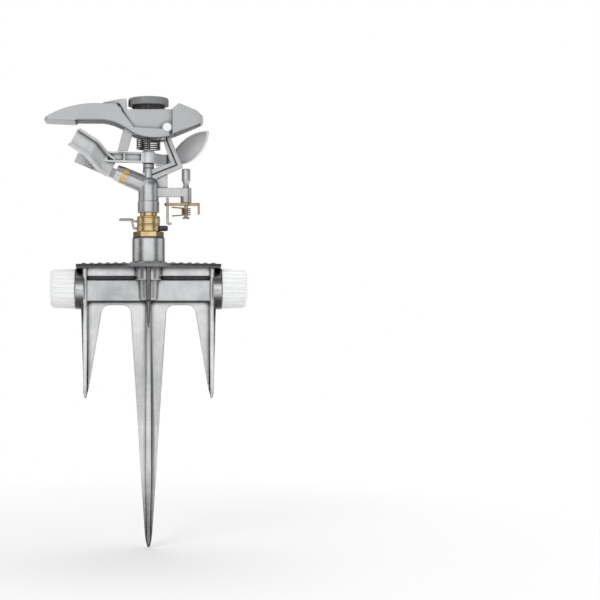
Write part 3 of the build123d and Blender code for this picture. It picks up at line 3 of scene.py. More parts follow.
import bmesh
import bpy
import numpy as np
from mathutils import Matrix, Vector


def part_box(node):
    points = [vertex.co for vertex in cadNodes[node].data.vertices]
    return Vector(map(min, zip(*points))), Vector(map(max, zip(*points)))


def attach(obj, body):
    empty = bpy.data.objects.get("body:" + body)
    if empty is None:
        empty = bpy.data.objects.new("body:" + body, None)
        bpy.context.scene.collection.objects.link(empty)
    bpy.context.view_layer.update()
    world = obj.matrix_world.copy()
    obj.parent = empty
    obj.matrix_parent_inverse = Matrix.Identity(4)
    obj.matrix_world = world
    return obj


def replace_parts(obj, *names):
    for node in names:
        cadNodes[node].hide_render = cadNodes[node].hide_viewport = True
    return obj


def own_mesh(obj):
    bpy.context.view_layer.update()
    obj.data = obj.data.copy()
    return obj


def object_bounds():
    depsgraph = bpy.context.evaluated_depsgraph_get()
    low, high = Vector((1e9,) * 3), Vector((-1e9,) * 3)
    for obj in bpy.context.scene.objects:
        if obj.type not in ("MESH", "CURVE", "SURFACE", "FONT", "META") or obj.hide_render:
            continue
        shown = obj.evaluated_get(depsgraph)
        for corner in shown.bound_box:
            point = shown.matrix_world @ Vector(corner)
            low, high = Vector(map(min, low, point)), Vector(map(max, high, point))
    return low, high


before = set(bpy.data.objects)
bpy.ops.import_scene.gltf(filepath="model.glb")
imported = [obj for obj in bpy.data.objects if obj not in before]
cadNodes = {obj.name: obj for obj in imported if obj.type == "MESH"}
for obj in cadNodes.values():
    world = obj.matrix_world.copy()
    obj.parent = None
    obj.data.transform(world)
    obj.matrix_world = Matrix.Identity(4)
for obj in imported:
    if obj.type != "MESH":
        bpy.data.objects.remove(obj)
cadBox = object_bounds()
scene = bpy.context.scene
print("frame loaded:", len(cadNodes), "nodes")

# Node helpers for the finishes


def startFinish(name):
    finish = bpy.data.materials.new(name)
    finish.use_nodes = True
    tree = finish.node_tree
    coords = tree.nodes.new("ShaderNodeTexCoord")
    return finish, tree, tree.nodes["Principled BSDF"], coords.outputs["Object"]


def putNode(tree, kind, links=(), **values):
    node = tree.nodes.new(kind)
    for key, value in values.items():
        socket = key.replace("_", " ")
        if socket in node.inputs:
            node.inputs[socket].default_value = value
        else:
            setattr(node, key, value)
    for socket, source in links:
        tree.links.new(source, node.inputs[socket])
    return node


def grain(tree, coords, scale, detail=3.0, roughness=0.55, stretch=(1, 1, 1)):
    mapping = putNode(tree, "ShaderNodeMapping", [("Vector", coords)], Scale=stretch)
    noise = putNode(tree, "ShaderNodeTexNoise", [("Vector", mapping.outputs["Vector"])],
                    Scale=scale, Detail=detail, Roughness=roughness)
    return noise.outputs["Fac"]


def between(tree, source, low, high, start=0.3, end=0.7):
    spread = putNode(tree, "ShaderNodeMapRange", [("Value", source)])
    for socket, value in (("From Min", start), ("From Max", end), ("To Min", low), ("To Max", high)):
        spread.inputs[socket].default_value = value
    return spread.outputs["Result"]


def reckon(tree, operation, *sources):
    return putNode(tree, "ShaderNodeMath", list(enumerate(sources)), operation=operation).outputs[0]


def product(tree, first, second):
    return reckon(tree, "MULTIPLY", first, second)


# Colour mix: socket 0 is the share, 6 and 7 are the two colours, output 2 is the colour
def tintBetween(tree, share, low, high):
    mix = putNode(tree, "ShaderNodeMix", data_type="RGBA")
    tree.links.new(share, mix.inputs[0])
    for socket, tint in ((6, low), (7, high)):
        if isinstance(tint, tuple):
            mix.inputs[socket].default_value = (*tint, 1)
        else:
            tree.links.new(tint, mix.inputs[socket])
    return mix.outputs[2]


def bumpUp(tree, height, strength, distance, normal):
    return putNode(tree, "ShaderNodeBump", [("Height", height), ("Normal", normal)],
                   Strength=strength, Distance=distance).outputs["Normal"]


# Share of a box in the object's own coordinates: 1 inside the limits, 0 outside.
# A third number is how far an edge fades
sharpEdge = 0.0002


def zoneShare(tree, coords, zone):
    parts = putNode(tree, "ShaderNodeSeparateXYZ", [("Vector", coords)])
    share = None
    for axis, (low, high, *fade) in zone.items():
        soft = fade[0] if fade else sharpEdge
        for start, end in ((low, low + soft), (high, high - soft)):
            side = between(tree, parts.outputs[axis], 0, 1, start, end)
            share = side if share is None else product(tree, share, side)
    return share


surface = {"waveDetail": 2.0, "grainDetail": 4.0, "grainRoughness": 0.6, "waveDepth": 0.002, "grainDepth": 0.0002,
           "streakDetail": 3.0, "streakRoughness": 0.6, "streakStart": 0.44, "streakEnd": 0.62, "samples": 6}


# One finish for cast, turned and moulded pieces: rounded edges, slow waviness, fine grain, patchy colour, painted
# shade in corners and, where given, zones of another colour (some of them painted light and shade), streaks and
# rougher zones
def makeFinish(name, look):
    finish, tree, shader, coords = startFinish(name)
    slow = grain(tree, coords, look["waveScale"], surface["waveDetail"])
    fine = grain(tree, coords, look["grainScale"], surface["grainDetail"], surface["grainRoughness"],
                 look.get("stretch", (1, 1, 1)))
    patchShare = between(tree, grain(tree, coords, look["patchScale"]), 0, 1)
    tint = tintBetween(tree, patchShare, look["dark"], look["light"])
    for zone, zoneDark, zoneLight in look.get("zones", ()):
        zoneTint = tintBetween(tree, patchShare, zoneDark, zoneLight)
        tint = tintBetween(tree, zoneShare(tree, coords, zone), tint, zoneTint)
    for zone, scale, stretch, streakTint in look.get("streaks", ()):
        lines = grain(tree, coords, scale, surface["streakDetail"], surface["streakRoughness"], stretch)
        lines = between(tree, lines, 0, 1, surface["streakStart"], surface["streakEnd"])
        tint = tintBetween(tree, product(tree, zoneShare(tree, coords, zone), lines), tint, streakTint)
    edge = putNode(tree, "ShaderNodeBevel", Radius=look["edge"], samples=surface["samples"])
    # Painted shade: an ambient occlusion mask darkens corners, creases and gaps between parts
    corner = putNode(tree, "ShaderNodeAmbientOcclusion", Distance=look["cornerReach"], samples=surface["samples"])
    cornerShadeShare = between(tree, corner.outputs["AO"], 0, 1, look["cornerStart"], look["cornerEnd"])
    tint = tintBetween(tree, cornerShadeShare, look["cornerShadeTint"], tint)
    tree.links.new(tint, shader.inputs["Base Color"])
    rough = between(tree, fine, look["roughLow"], look["roughHigh"])
    for zone, extra in look.get("roughZones", ()):
        added = between(tree, zoneShare(tree, coords, zone), 0, extra, 0, 1)
        rough = reckon(tree, "ADD", rough, added)
    tree.links.new(rough, shader.inputs["Roughness"])
    shader.inputs["Metallic"].default_value = look["metallic"]
    wavy = bumpUp(tree, slow, look["waveBump"], surface["waveDepth"], edge.outputs["Normal"])
    grainy = bumpUp(tree, fine, look["grainBump"], surface["grainDepth"], wavy)
    tree.links.new(grainy, shader.inputs["Normal"])
    return finish


castLook = {"metallic": 1.0, "cornerReach": 0.0045, "cornerStart": 0.42, "cornerEnd": 0.86,
            "cornerShadeTint": (0.025, 0.025, 0.027), "roughLow": 0.20, "roughHigh": 0.34}
mouldLook = {"metallic": 0.0, "cornerReach": 0.004, "cornerStart": 0.25, "cornerEnd": 0.8,
             "cornerShadeTint": (0.05, 0.05, 0.052), "roughLow": 0.36, "roughHigh": 0.48}
polished = ((0.60, 0.61, 0.62), (0.88, 0.89, 0.90))
paintedGapShadow = ((0.08, 0.08, 0.085), (0.12, 0.12, 0.125))
darkTone = ((0.16, 0.16, 0.17), (0.32, 0.32, 0.33))
brightWeb = ((0.74, 0.75, 0.76), (0.96, 0.96, 0.97))
dullFace = ((0.50, 0.51, 0.52), (0.76, 0.77, 0.78))

# Base casting: the webs of the spikes are brightest, the gallery's face is duller and the plate's rim is darker. The
# grooves carry painted shadow, and the top of the centre rib and the upper and lower sides of the inlet collars
# painted shade
polishedZinc = makeFinish("polishedZinc", castLook | {
    "dark": polished[0], "light": polished[1], "roughLow": 0.16, "roughHigh": 0.30,
    "waveScale": 55, "waveBump": 0.14, "grainScale": 1400, "grainBump": 0.18, "patchScale": 42, "edge": 0.0017,
    "zones": [({"Z": (-0.2, -0.0012)}, *brightWeb),
              ({"X": (-0.0485, 0.0485), "Z": (0.0010, 0.0175)}, *dullFace),
              ({"X": (-0.0066, 0.0066), "Z": (0.0010, 0.0269)}, *brightWeb),
              # Painted shade: the front of the centre rib is darkened near its top
              ({"X": (-0.0019, 0.0019), "Y": (-0.05, -0.0128), "Z": (-0.034, 0.040, 0.014)}, *darkTone),
              ({"Z": (0.0322, 0.06)}, *polished),
              # Painted shade: the upper and lower sides of each inlet collar are darkened and the band round its
              # middle is left bright, as light falls on a shiny round collar
              ({"X": (-0.059, -0.0512), "Z": (-0.018, 0.0100, 0.007)}, *darkTone),
              ({"X": (-0.059, -0.0512), "Z": (0.0112, 0.0342, 0.007)}, *darkTone),
              ({"X": (0.0512, 0.059), "Z": (-0.018, 0.0100, 0.007)}, *darkTone),
              ({"X": (0.0512, 0.059), "Z": (0.0112, 0.0342, 0.007)}, *darkTone),
              ({"Z": (0.0269, 0.0301)}, *darkTone),
              # Painted shadow in the groove under the plate
              ({"Y": (-0.0106, 0.0106), "Z": (0.0171, 0.0207)}, *paintedGapShadow),
              # Painted shadow along the foot of the gallery, where it meets the webs
              ({"X": (-0.0485, 0.0485), "Y": (-0.0129, 0.0129), "Z": (-0.0004, 0.0013)}, *paintedGapShadow)],
    "streaks": [({"Z": (0.0299, 0.0325)}, 40, (22, 0.8, 1), (0.30, 0.30, 0.305))],
    "roughZones": [({"Z": (0.0299, 0.0325)}, 0.30)]})
headZinc = makeFinish("headZinc", castLook | {
    "dark": (0.50, 0.51, 0.52), "light": (0.72, 0.73, 0.74), "roughLow": 0.26, "roughHigh": 0.40,
    "waveScale": 90, "waveBump": 0.10, "grainScale": 1800, "grainBump": 0.25, "patchScale": 60, "edge": 0.0008})
armZinc = makeFinish("armZinc", castLook | {
    "dark": (0.66, 0.67, 0.68), "light": (0.80, 0.81, 0.82), "roughLow": 0.36, "roughHigh": 0.50, "metallic": 0.5,
    "waveScale": 90, "waveBump": 0.10, "grainScale": 1800, "grainBump": 0.25, "patchScale": 60, "edge": 0.0006,
    # Painted light: the leaf, past 22 mm, is made lighter to undo the shade that the cover's tail casts on it
    "zones": [({"X": (0.022, 0.07)}, (0.90, 0.91, 0.92), (0.97, 0.97, 0.98))]})
turnedBrass = makeFinish("turnedBrass", castLook | {
    "dark": (0.68, 0.48, 0.20), "light": (0.94, 0.75, 0.42), "roughLow": 0.16, "roughHigh": 0.28,
    "cornerShadeTint": (0.08, 0.045, 0.012), "cornerReach": 0.002, "cornerStart": 0.15, "cornerEnd": 0.6,
    "waveScale": 120, "waveBump": 0.05, "grainScale": 500, "grainBump": 0.25, "patchScale": 90,
    "stretch": (0.2, 0.2, 8), "edge": 0.0005})
platedSteel = makeFinish("platedSteel", castLook | {
    "dark": (0.66, 0.66, 0.65), "light": (0.82, 0.82, 0.80),
    "waveScale": 120, "waveBump": 0.04, "grainScale": 900, "grainBump": 0.12, "patchScale": 90, "edge": 0.0005})
brightSteel = makeFinish("brightSteel", castLook | {
    "dark": (0.56, 0.55, 0.52), "light": (0.74, 0.73, 0.70), "cornerReach": 0.0015,
    "waveScale": 150, "waveBump": 0.03, "grainScale": 1500, "grainBump": 0.12, "patchScale": 90, "edge": 0.0002})
springSteel = makeFinish("springSteel", castLook | {
    "dark": (0.06, 0.06, 0.065), "light": (0.16, 0.16, 0.17), "cornerReach": 0.003,
    "waveScale": 200, "waveBump": 0.02, "grainScale": 2200, "grainBump": 0.12, "patchScale": 120, "edge": 0.0001})
springBronze = makeFinish("springBronze", castLook | {
    "dark": (0.34, 0.24, 0.12), "light": (0.64, 0.49, 0.28), "cornerReach": 0.002,
    "waveScale": 200, "waveBump": 0.02, "grainScale": 2200, "grainBump": 0.12, "patchScale": 120, "edge": 0.0002})
coverGrey = makeFinish("coverGrey", mouldLook | {
    "dark": (0.45, 0.46, 0.47), "light": (0.50, 0.51, 0.52), "metallic": 0.2,
    "waveScale": 40, "waveBump": 0.02, "grainScale": 2600, "grainBump": 0.16, "patchScale": 25, "edge": 0.0014})
knobGrey = makeFinish("knobGrey", mouldLook | {
    "dark": (0.20, 0.205, 0.21), "light": (0.25, 0.255, 0.26), "metallic": 0.1,
    "waveScale": 40, "waveBump": 0.02, "grainScale": 2400, "grainBump": 0.2, "patchScale": 60, "edge": 0.0006,
    # Painted shade: the foot under the knob's rim is made nearly black
    "zones": [({"Z": (0.1500, 0.1566)}, (0.035, 0.035, 0.037), (0.045, 0.045, 0.047))]})
capWhite = makeFinish("capWhite", mouldLook | {
    "dark": (0.86, 0.865, 0.87), "light": (0.90, 0.905, 0.91), "cornerShadeTint": (0.66, 0.67, 0.68),
    "waveScale": 40, "waveBump": 0.02, "grainScale": 1800, "grainBump": 0.14, "patchScale": 70, "edge": 0.0005})
washerWhite = makeFinish("washerWhite", mouldLook | {
    "dark": (0.70, 0.70, 0.68), "light": (0.78, 0.78, 0.76), "cornerShadeTint": (0.3, 0.3, 0.3),
    "waveScale": 40, "waveBump": 0.02, "grainScale": 1800, "grainBump": 0.10, "patchScale": 90, "edge": 0.0002})
tabBlack = makeFinish("tabBlack", mouldLook | {
    "dark": (0.020, 0.020, 0.021), "light": (0.045, 0.045, 0.046),
    "waveScale": 40, "waveBump": 0.02, "grainScale": 1800, "grainBump": 0.2, "patchScale": 90, "edge": 0.0003})
markWhite = makeFinish("markWhite", mouldLook | {
    "dark": (0.78, 0.78, 0.77), "light": (0.86, 0.86, 0.85), "cornerShadeTint": (0.6, 0.6, 0.6),
    "waveScale": 40, "waveBump": 0.02, "grainScale": 3000, "grainBump": 0.2, "patchScale": 300, "edge": 0.0001})

wearing = {
    polishedZinc: ["spike_base"],
    headZinc: ["head_body", "breaker_strap", "pin_collar", "trip_post"],
    armZinc: ["drive_arm"],
    turnedBrass: ["bearing_nut", "bearing_sleeve", "neck_bush", "nozzle", "breaker_screw", "trip_collar_lower",
                  "trip_collar_upper"],
    platedSteel: ["nozzle_tip"],
    brightSteel: ["bearing_spring", "stop_wire_lower", "stop_wire_upper", "fulcrum_pin", "trip_pin", "trip_wire",
                  "cover_screws"],
    springSteel: ["arm_spring"],
    springBronze: ["trip_spring", "breaker_spring", "trip_lever"],
    coverGrey: ["deflector_flap", "cover_shell"],
    knobGrey: ["range_knob", "knob_button"],
    capWhite: ["inlet_cap_left", "inlet_cap_right", "flap_pivot_pins"],
    washerWhite: ["bearing_washers", "stream_straightener", "arm_washer", "arm_bush"],
    tabBlack: ["collar_tab", "knob_spindle", "riser_seal", "cap_gasket_left", "cap_gasket_right"],
}
for finish, names in wearing.items():
    for name in names:
        cadNodes[name].data.materials.clear()
        cadNodes[name].data.materials.append(finish)
print("finishes on", sum(len(names) for names in wearing.values()), "nodes")

# New pieces: each is a closed grid of points, put in as whole arrays


# Faces of a grid of rings: joined round each ring, then either back to the first ring or with flat ends
def ringFaces(rings, count, closed):
    ring = np.arange(rings if closed else rings - 1)[:, None]
    spot = np.arange(count)[None, :]
    nextRing, nextSpot = (ring + 1) % rings, (spot + 1) % count
    faces = np.stack([ring * count + spot, ring * count + nextSpot,
                      nextRing * count + nextSpot, nextRing * count + spot], -1).reshape(-1, 4).tolist()
    if closed:
        return faces
    first = np.arange(count)
    return faces + [first[::-1].tolist(), ((rings - 1) * count + first).tolist()]


def putPiece(name, mesh, finish, body):
    mesh.materials.append(finish)
    piece = bpy.data.objects.new(name, mesh)
    scene.collection.objects.link(piece)
    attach(piece, body)
    return piece


def addPiece(name, points, faces, finish, body):
    mesh = bpy.data.meshes.new(name)
    mesh.from_pydata(points.reshape(-1, 3).tolist(), [], faces)
    mesh.shade_smooth()
    return putPiece(name, mesh, finish, body)


# Cosine or sine pressed towards a square wave by a power under 1
def squared(wave, power):
    return np.sign(wave) * np.abs(wave) ** power


# Copies of two solids with forms that they leave plain. Each is merged, cut across where it is to change, and moved
# by a function of whole arrays. The solid's own normals stay, apart from faces that lie on or touch what moved
copying = {"merge": 2e-6, "cut": 1e-7, "sharpAngle": 34, "match": 1e-6}


def cutAcross(shape, place, way, near):
    faces = [face for face in shape.faces if near(face.calc_center_median())]
    edges = {edge for face in faces for edge in face.edges}
    spots = {spot for face in faces for spot in face.verts}
    bmesh.ops.bisect_plane(shape, geom=faces + list(edges) + list(spots), dist=copying["cut"],
                           plane_co=place, plane_no=way)


def reshaped(name, node, cuts, move, finish, body):
    solid = cadNodes[node].data.copy()
    turned = np.empty(len(solid.loops) * 3, np.float32)
    solid.corner_normals.foreach_get("vector", turned)
    solid.attributes.new("solidNormal", "FLOAT_VECTOR", "CORNER").data.foreach_set("vector", turned)
    shape = bmesh.new()
    shape.from_mesh(solid)
    bpy.data.meshes.remove(solid)
    bmesh.ops.remove_doubles(shape, verts=shape.verts, dist=copying["merge"])
    for place, way, near in cuts:
        cutAcross(shape, place, way, near)
    mesh = bpy.data.meshes.new(name)
    shape.to_mesh(mesh)
    shape.free()
    spots = np.empty(len(mesh.vertices) * 3, np.float32)
    mesh.vertices.foreach_get("co", spots)
    moved, lying, touching = move(*spots.reshape(-1, 3).astype(float).T)
    mesh.vertices.foreach_set("co", np.stack(moved, -1).ravel())
    mesh.update()
    mesh.shade_smooth()
    mesh.set_sharp_from_angle(angle=math.radians(copying["sharpAngle"]))
    corners = np.empty(len(mesh.loops), np.int32)
    mesh.loops.foreach_get("vertex_index", corners)
    starts, counts = np.empty((2, len(mesh.polygons)), np.int32)
    mesh.polygons.foreach_get("loop_start", starts)
    mesh.polygons.foreach_get("loop_total", counts)
    changed = np.logical_and.reduceat(lying[corners], starts)
    changed |= np.logical_or.reduceat(touching[corners], starts)
    turned = np.empty(len(mesh.loops) * 3, np.float32)
    mesh.attributes["solidNormal"].data.foreach_get("vector", turned)
    turned = np.where(np.repeat(changed, counts)[:, None], 0, turned.reshape(-1, 3))
    mesh.attributes.remove(mesh.attributes["solidNormal"])
    mesh.normals_split_custom_set(turned)
    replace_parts(putPiece(name, mesh, finish, body), node)
    print(name, "has", len(mesh.polygons), "faces")


# Base casting: the ribs' long edges rolled over and the three points drawn in.
# Rolled edge: |y| - roll (1 - sqrt(1 - (x / half)^2)).
# Point: width x sqrt(1 - (1 - blunt^2) ((z0 - z) / length)^2)
tineRow = {"half": 0.00185, "roll": (0.0010, 0.0019), "z": (0.0272, -0.0026, -0.077), "y": (0.0136, 0.0136, 0.0013)}
ribRows = [{"x": 0.0, "half": 0.0019, "roll": (0.0013, 0.0019), "z": (0.00865, -0.0026, -0.134, -0.196),
            "y": (0.014, 0.014, 0.0061370, 0.0022)},
           tineRow | {"x": -0.0504}, tineRow | {"x": 0.0504}]
ribEdge = {"shares": (-0.97, -0.88, -0.74, -0.55, -0.28, 0, 0.28, 0.55, 0.74, 0.88, 0.97),
           "across": 1.001, "match": 3e-5, "mostRoll": 0.9}
pointShape = {"length": 0.011, "blunt": 0.22, "cuts": (0.08, 0.18, 0.32, 0.5, 0.72, 1.0),
              "reach": 0.012, "ease": 0.008}


def ribCuts(row):
    top, shoulder, tip = row["z"][0], row["z"][1], row["z"][-1]

    def onRib(spot):
        return abs(spot.x - row["x"]) < row["half"] and spot.z < top

    def onPoint(spot):
        return abs(spot.x - row["x"]) < pointShape["reach"] and spot.z < shoulder

    along = [((row["x"] + share * row["half"], 0, 0), (1, 0, 0), onRib) for share in ribEdge["shares"]]
    across = [((0, 0, tip + share * pointShape["length"]), (0, 0, 1), onPoint) for share in pointShape["cuts"]]
    return along + across + [((0, 0, shoulder - pointShape["ease"]), (0, 0, 1), onRib)]


def rollAndDraw(x, y, z):
    rolled, drawn = np.zeros(len(x), bool), np.zeros(len(x), bool)
    for row in ribRows:
        top, shoulder, tip = row["z"][0], row["z"][1], row["z"][-1]
        across = (x - row["x"]) / row["half"]
        edge = np.interp(-z, -np.array(row["z"]), row["y"])
        roll = np.interp(-z, (-shoulder, pointShape["ease"] - shoulder), row["roll"])
        roll = np.minimum(roll, ribEdge["mostRoll"] * edge)
        onEdge = (np.abs(across) < ribEdge["across"]) & (np.abs(np.abs(y) - edge) < ribEdge["match"])
        onEdge &= z < top + copying["match"]
        y = np.where(onEdge, y - np.sign(y) * roll * (1 - np.sqrt(np.maximum(0, 1 - across ** 2))), y)
        drop = np.clip((tip + pointShape["length"] - z) / pointShape["length"], 0, 1)
        drop = drop * (np.abs(x - row["x"]) < pointShape["reach"])
        draw = np.sqrt(1 - (1 - pointShape["blunt"] ** 2) * drop ** 2)
        x, y = row["x"] + (x - row["x"]) * draw, y * draw
        rolled |= onEdge
        drawn |= drop > 0
    return (x, y, z), rolled, drawn


reshaped("base_casting", "spike_base", sum(map(ribCuts, ribRows), []), rollAndDraw,
         polishedZinc, "base")

# Deflector flap: the beak is an open tray, its panel let in between the rims with a hollow slope up to the back.
# Panel: z rises evenly to the foot of the slope. Skin on the brow's arc x^2 + z^2 + a x + b z + c = 0 goes down to the
# panel, its underside just below, and share ((x - foot) / (crest - foot))^1.6 of the drop is left on the slope
tray = {"x": (-0.0809, -0.0803, -0.0600, -0.0588, -0.0576, -0.0562, -0.0545), "y": (0.0110, 0.0105),
        "foot": -0.0600, "crest": -0.0545, "hollow": 1.6, "panel": (0.1455, 0.1465), "skin": 0.0004, "sunk": 0.0003,
        "brow": ((-0.0826, 0.1458), (-0.0660, 0.1534), (-0.0367, 0.1568)), "beakBack": -0.03, "beakUnder": 0.1440}


def letInPanel(x, y, z):
    lip, rim, near = tray["x"][1], tray["y"][1], copying["match"]
    level = np.interp(x, (lip, tray["foot"]), tray["panel"])
    inside = (x > lip - near) & (x < tray["crest"] - near) & (np.abs(y) < rim + near) & (z > level)
    brow = np.array(tray["brow"])
    a, b, c = np.linalg.solve(np.c_[brow, np.ones(3)], -(brow ** 2).sum(1))
    top = (np.sqrt(np.maximum(0, b * b - 4 * (x * x + a * x + c))) - b) / 2
    share = np.clip((x - tray["foot"]) / (tray["crest"] - tray["foot"]), 0, 1) ** tray["hollow"]
    low = np.where(z > top - tray["skin"], level, level - tray["sunk"])
    return (x, y, np.where(inside, low + (z - low) * share, z)), inside, inside


def onBeak(spot):
    return spot.x < tray["beakBack"] and spot.z > tray["beakUnder"]


trayCuts = [((place, 0, 0), (1, 0, 0), onBeak) for place in tray["x"]]
trayCuts += [((0, side * place, 0), (0, 1, 0), onBeak) for place in tray["y"] for side in (-1, 1)]
reshaped("flap_tray", "deflector_flap", trayCuts, letInPanel, coverGrey, "flap")

# Paint in the knob's scale bars, which grow round the dial. Each is a pad in its recess:
# outward = a c(u) p(v), along = b s(u) p(v), with squared waves c and s, and p easing in at the top edge
scaleBars = {"count": 7, "sweep": 300.0, "ring": 0.0106, "width": 0.0008, "widening": 0.00026, "length": 0.0013,
             "lengthening": 0.00052, "inset": 0.00005, "floor": 0.0013, "thickness": 0.00034, "power": 0.2,
             "layers": 5, "around": 40, "easing": 0.12, "easePower": 4}


def barPad(bars, step, top):
    v, u = np.meshgrid(np.linspace(0, 1, bars["layers"]), np.linspace(0, 2 * np.pi, bars["around"], endpoint=False),
                       indexing="ij")
    ease = 1 - bars["easing"] * v ** bars["easePower"]
    halfWidth = bars["width"] / 2 + step * bars["widening"] / 2 - bars["inset"]
    halfLength = bars["length"] / 2 + step * bars["lengthening"] / 2 - bars["inset"]
    outward = halfWidth * squared(np.cos(u), bars["power"]) * ease
    along = halfLength * squared(np.sin(u), bars["power"]) * ease
    angle = math.radians(90 - step * bars["sweep"] / bars["count"])
    reach = bars["ring"] + outward
    return np.stack([reach * math.cos(angle) - along * math.sin(angle),
                     reach * math.sin(angle) + along * math.cos(angle),
                     top - bars["floor"] + bars["thickness"] * v], -1)


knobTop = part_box("range_knob")[1][2]
barFaces = ringFaces(scaleBars["layers"], scaleBars["around"], False)
for step in range(scaleBars["count"]):
    addPiece(f"scale_bar_{step + 1}", barPad(scaleBars, step, knobTop), barFaces, markWhite, "knob")

# Raised pointer on the cover in front of the knob: a round bead carried along a rounded triangle.
# Triangle: distance from its middle = (sum over the sides of max(0, direction . side normal)^p)^(-1/p) x size
pointer = {"x": -0.0256, "size": 0.0017, "bead": 0.00032, "rise": 0.00008, "power": 14, "normals": (60, 180, 300),
           "columns": 120, "around": 10, "probe": 0.002, "dropFrom": 1.0}


def pointerBead(look, level, slope):
    turn, around = np.meshgrid(np.linspace(0, 2 * np.pi, look["columns"], endpoint=False),
                               np.linspace(0, 2 * np.pi, look["around"], endpoint=False), indexing="ij")
    toSides = np.maximum(0, np.cos(turn[..., None] - np.radians(look["normals"])))
    outline = look["size"] * (toSides ** look["power"]).sum(-1) ** (-1 / look["power"])
    reach = outline + look["bead"] * np.cos(around)
    x = look["x"] + reach * np.cos(turn)
    lift = level + slope * (x - look["x"]) + look["rise"] + look["bead"] * np.sin(around)
    return np.stack([x, reach * np.sin(turn), lift], -1)


# Height of a node's top at a place, from a ray dropped on its mesh
def topAt(name, x, y):
    hit, place, _, _ = cadNodes[name].ray_cast((x, y, pointer["dropFrom"]), (0, 0, -1))
    return place[2] if hit else None


padFront = topAt("cover_shell", pointer["x"] - pointer["probe"], 0)
padBack = topAt("cover_shell", pointer["x"] + pointer["probe"], 0)
padSlope = (padBack - padFront) / (2 * pointer["probe"])
addPiece("pointer", pointerBead(pointer, (padFront + padBack) / 2, padSlope),
         ringFaces(pointer["columns"], pointer["around"], True), coverGrey, "head")

# Hose thread on each inlet, under its cap: a ridge carried along a helix, run out to nothing at both ends.
# Ridge: axial place = start + pitch t / 2 pi + half width x cos(w),
# radius = foot + (sunk + height x ease(t)) (1 + sin(w)) / 2, with its foot sunk below the inlet's radius
hoseThread = {"start": 0.0612, "pitch": 0.0021, "turns": 5.0, "radius": 0.0132, "height": 0.00055,
              "halfWidth": 0.00062, "sunk": 0.0002, "steps": 400, "around": 12, "runOut": 4, "least": 0.02,
              "axisZ": 0.0106}


def threadRidge(thread, side):
    t, w = np.meshgrid(np.linspace(0, 2 * np.pi * thread["turns"], thread["steps"]),
                       np.linspace(0, 2 * np.pi, thread["around"], endpoint=False), indexing="ij")
    share = t / t.max()
    ease = np.clip(np.minimum(share, 1 - share) * thread["turns"] * thread["runOut"], thread["least"], 1)
    along = thread["start"] + thread["pitch"] * t / (2 * np.pi) + thread["halfWidth"] * np.cos(w)
    foot = thread["radius"] - thread["sunk"]
    radius = foot + (thread["sunk"] + thread["height"] * ease) * (0.5 + 0.5 * np.sin(w))
    return np.stack([side * along, side * radius * np.sin(t), thread["axisZ"] + radius * np.cos(t)], -1)


threadFaces = ringFaces(hoseThread["steps"], hoseThread["around"], False)
for side, name in ((-1, "left"), (1, "right")):
    addPiece(f"hose_thread_{name}", threadRidge(hoseThread, side), threadFaces, polishedZinc, "base")

# Coil on the jet breaker's screw, drawn at one length (on the real sprinkler it closes up as the screw is fed in).
# Helix: x = (radius + wire cos w) cos t, z = (radius + wire cos w) sin t, y = pitch t / 2 pi + wire sin w
breakerCoil = {"wire": 0.00035, "turns": 7.0, "steps": 340, "around": 12, "keep": 0.72}


def coilTube(coil, low, high):
    t, w = np.meshgrid(np.linspace(0, 2 * np.pi * coil["turns"], coil["steps"]),
                       np.linspace(0, 2 * np.pi, coil["around"], endpoint=False), indexing="ij")
    middle = (low + high) / 2
    reach = (high[0] - low[0]) / 2 - coil["wire"] * (1 - np.cos(w))
    along = low[1] + coil["wire"] + (high[1] - low[1] - 2 * coil["wire"]) * t / t.max()
    return np.stack([middle[0] + reach * np.cos(t), along + coil["wire"] * np.sin(w),
                     middle[2] + reach * np.sin(t)], -1)


coilLow, coilHigh = (np.array(corner, float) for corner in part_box("breaker_spring"))
coilPiece = addPiece("breaker_coil", coilTube(breakerCoil, coilLow, coilHigh),
                     ringFaces(breakerCoil["steps"], breakerCoil["around"], False),
                     springBronze, "head")
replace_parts(coilPiece, "breaker_spring")
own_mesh(coilPiece)
print("pieces added: scale bars, pointer, hose threads, breaker coil")

# Studio: pale floor that fades to white, white surround, soft lamps, and a tent of grey cloth with
# pale windows round the object that only reflections see

studio = {"floorHalf": 6.0, "floorDrop": 0.0005, "floorColour": (0.88, 0.88, 0.88), "floorRoughness": 0.9,
          "surround": 0.42, "fadeStart": 0.14, "fadeEnd": 0.45}


def stageMesh(name, points, faces, finish):
    mesh = bpy.data.meshes.new(name)
    mesh.from_pydata(points, [], faces)
    mesh.materials.append(finish)
    piece = bpy.data.objects.new(name, mesh)
    scene.collection.objects.link(piece)
    return piece


# 1 for rays from the camera, from gloss and through glass
def seenRays(tree):
    rays = tree.nodes.new("ShaderNodeLightPath")
    direct = reckon(tree, "MAXIMUM", rays.outputs["Is Camera Ray"], rays.outputs["Is Glossy Ray"])
    return reckon(tree, "MAXIMUM", direct, rays.outputs["Is Transmission Ray"])


floorZ = cadBox[0][2] - studio["floorDrop"]
half = studio["floorHalf"]
floorFinish, floorTree, floorShader, floorCoords = startFinish("floorPale")
floorShader.inputs["Base Color"].default_value = (*studio["floorColour"], 1)
floorShader.inputs["Roughness"].default_value = studio["floorRoughness"]
farOff = putNode(floorTree, "ShaderNodeVectorMath", [(0, floorCoords)], operation="LENGTH").outputs["Value"]
fade = between(floorTree, farOff, 0, 1, studio["fadeStart"], studio["fadeEnd"])
white = putNode(floorTree, "ShaderNodeEmission", Color=(1, 1, 1, 1), Strength=1.0)
floorMix = putNode(floorTree, "ShaderNodeMixShader", [("Fac", product(floorTree, fade, seenRays(floorTree)))])
floorTree.links.new(floorShader.outputs["BSDF"], floorMix.inputs[1])
floorTree.links.new(white.outputs["Emission"], floorMix.inputs[2])
floorTree.links.new(floorMix.outputs["Shader"], floorTree.nodes["Material Output"].inputs["Surface"])
stageMesh("floor", [(-half, -half, floorZ), (half, -half, floorZ), (half, half, floorZ), (-half, half, floorZ)],
          [(0, 1, 2, 3)], floorFinish)

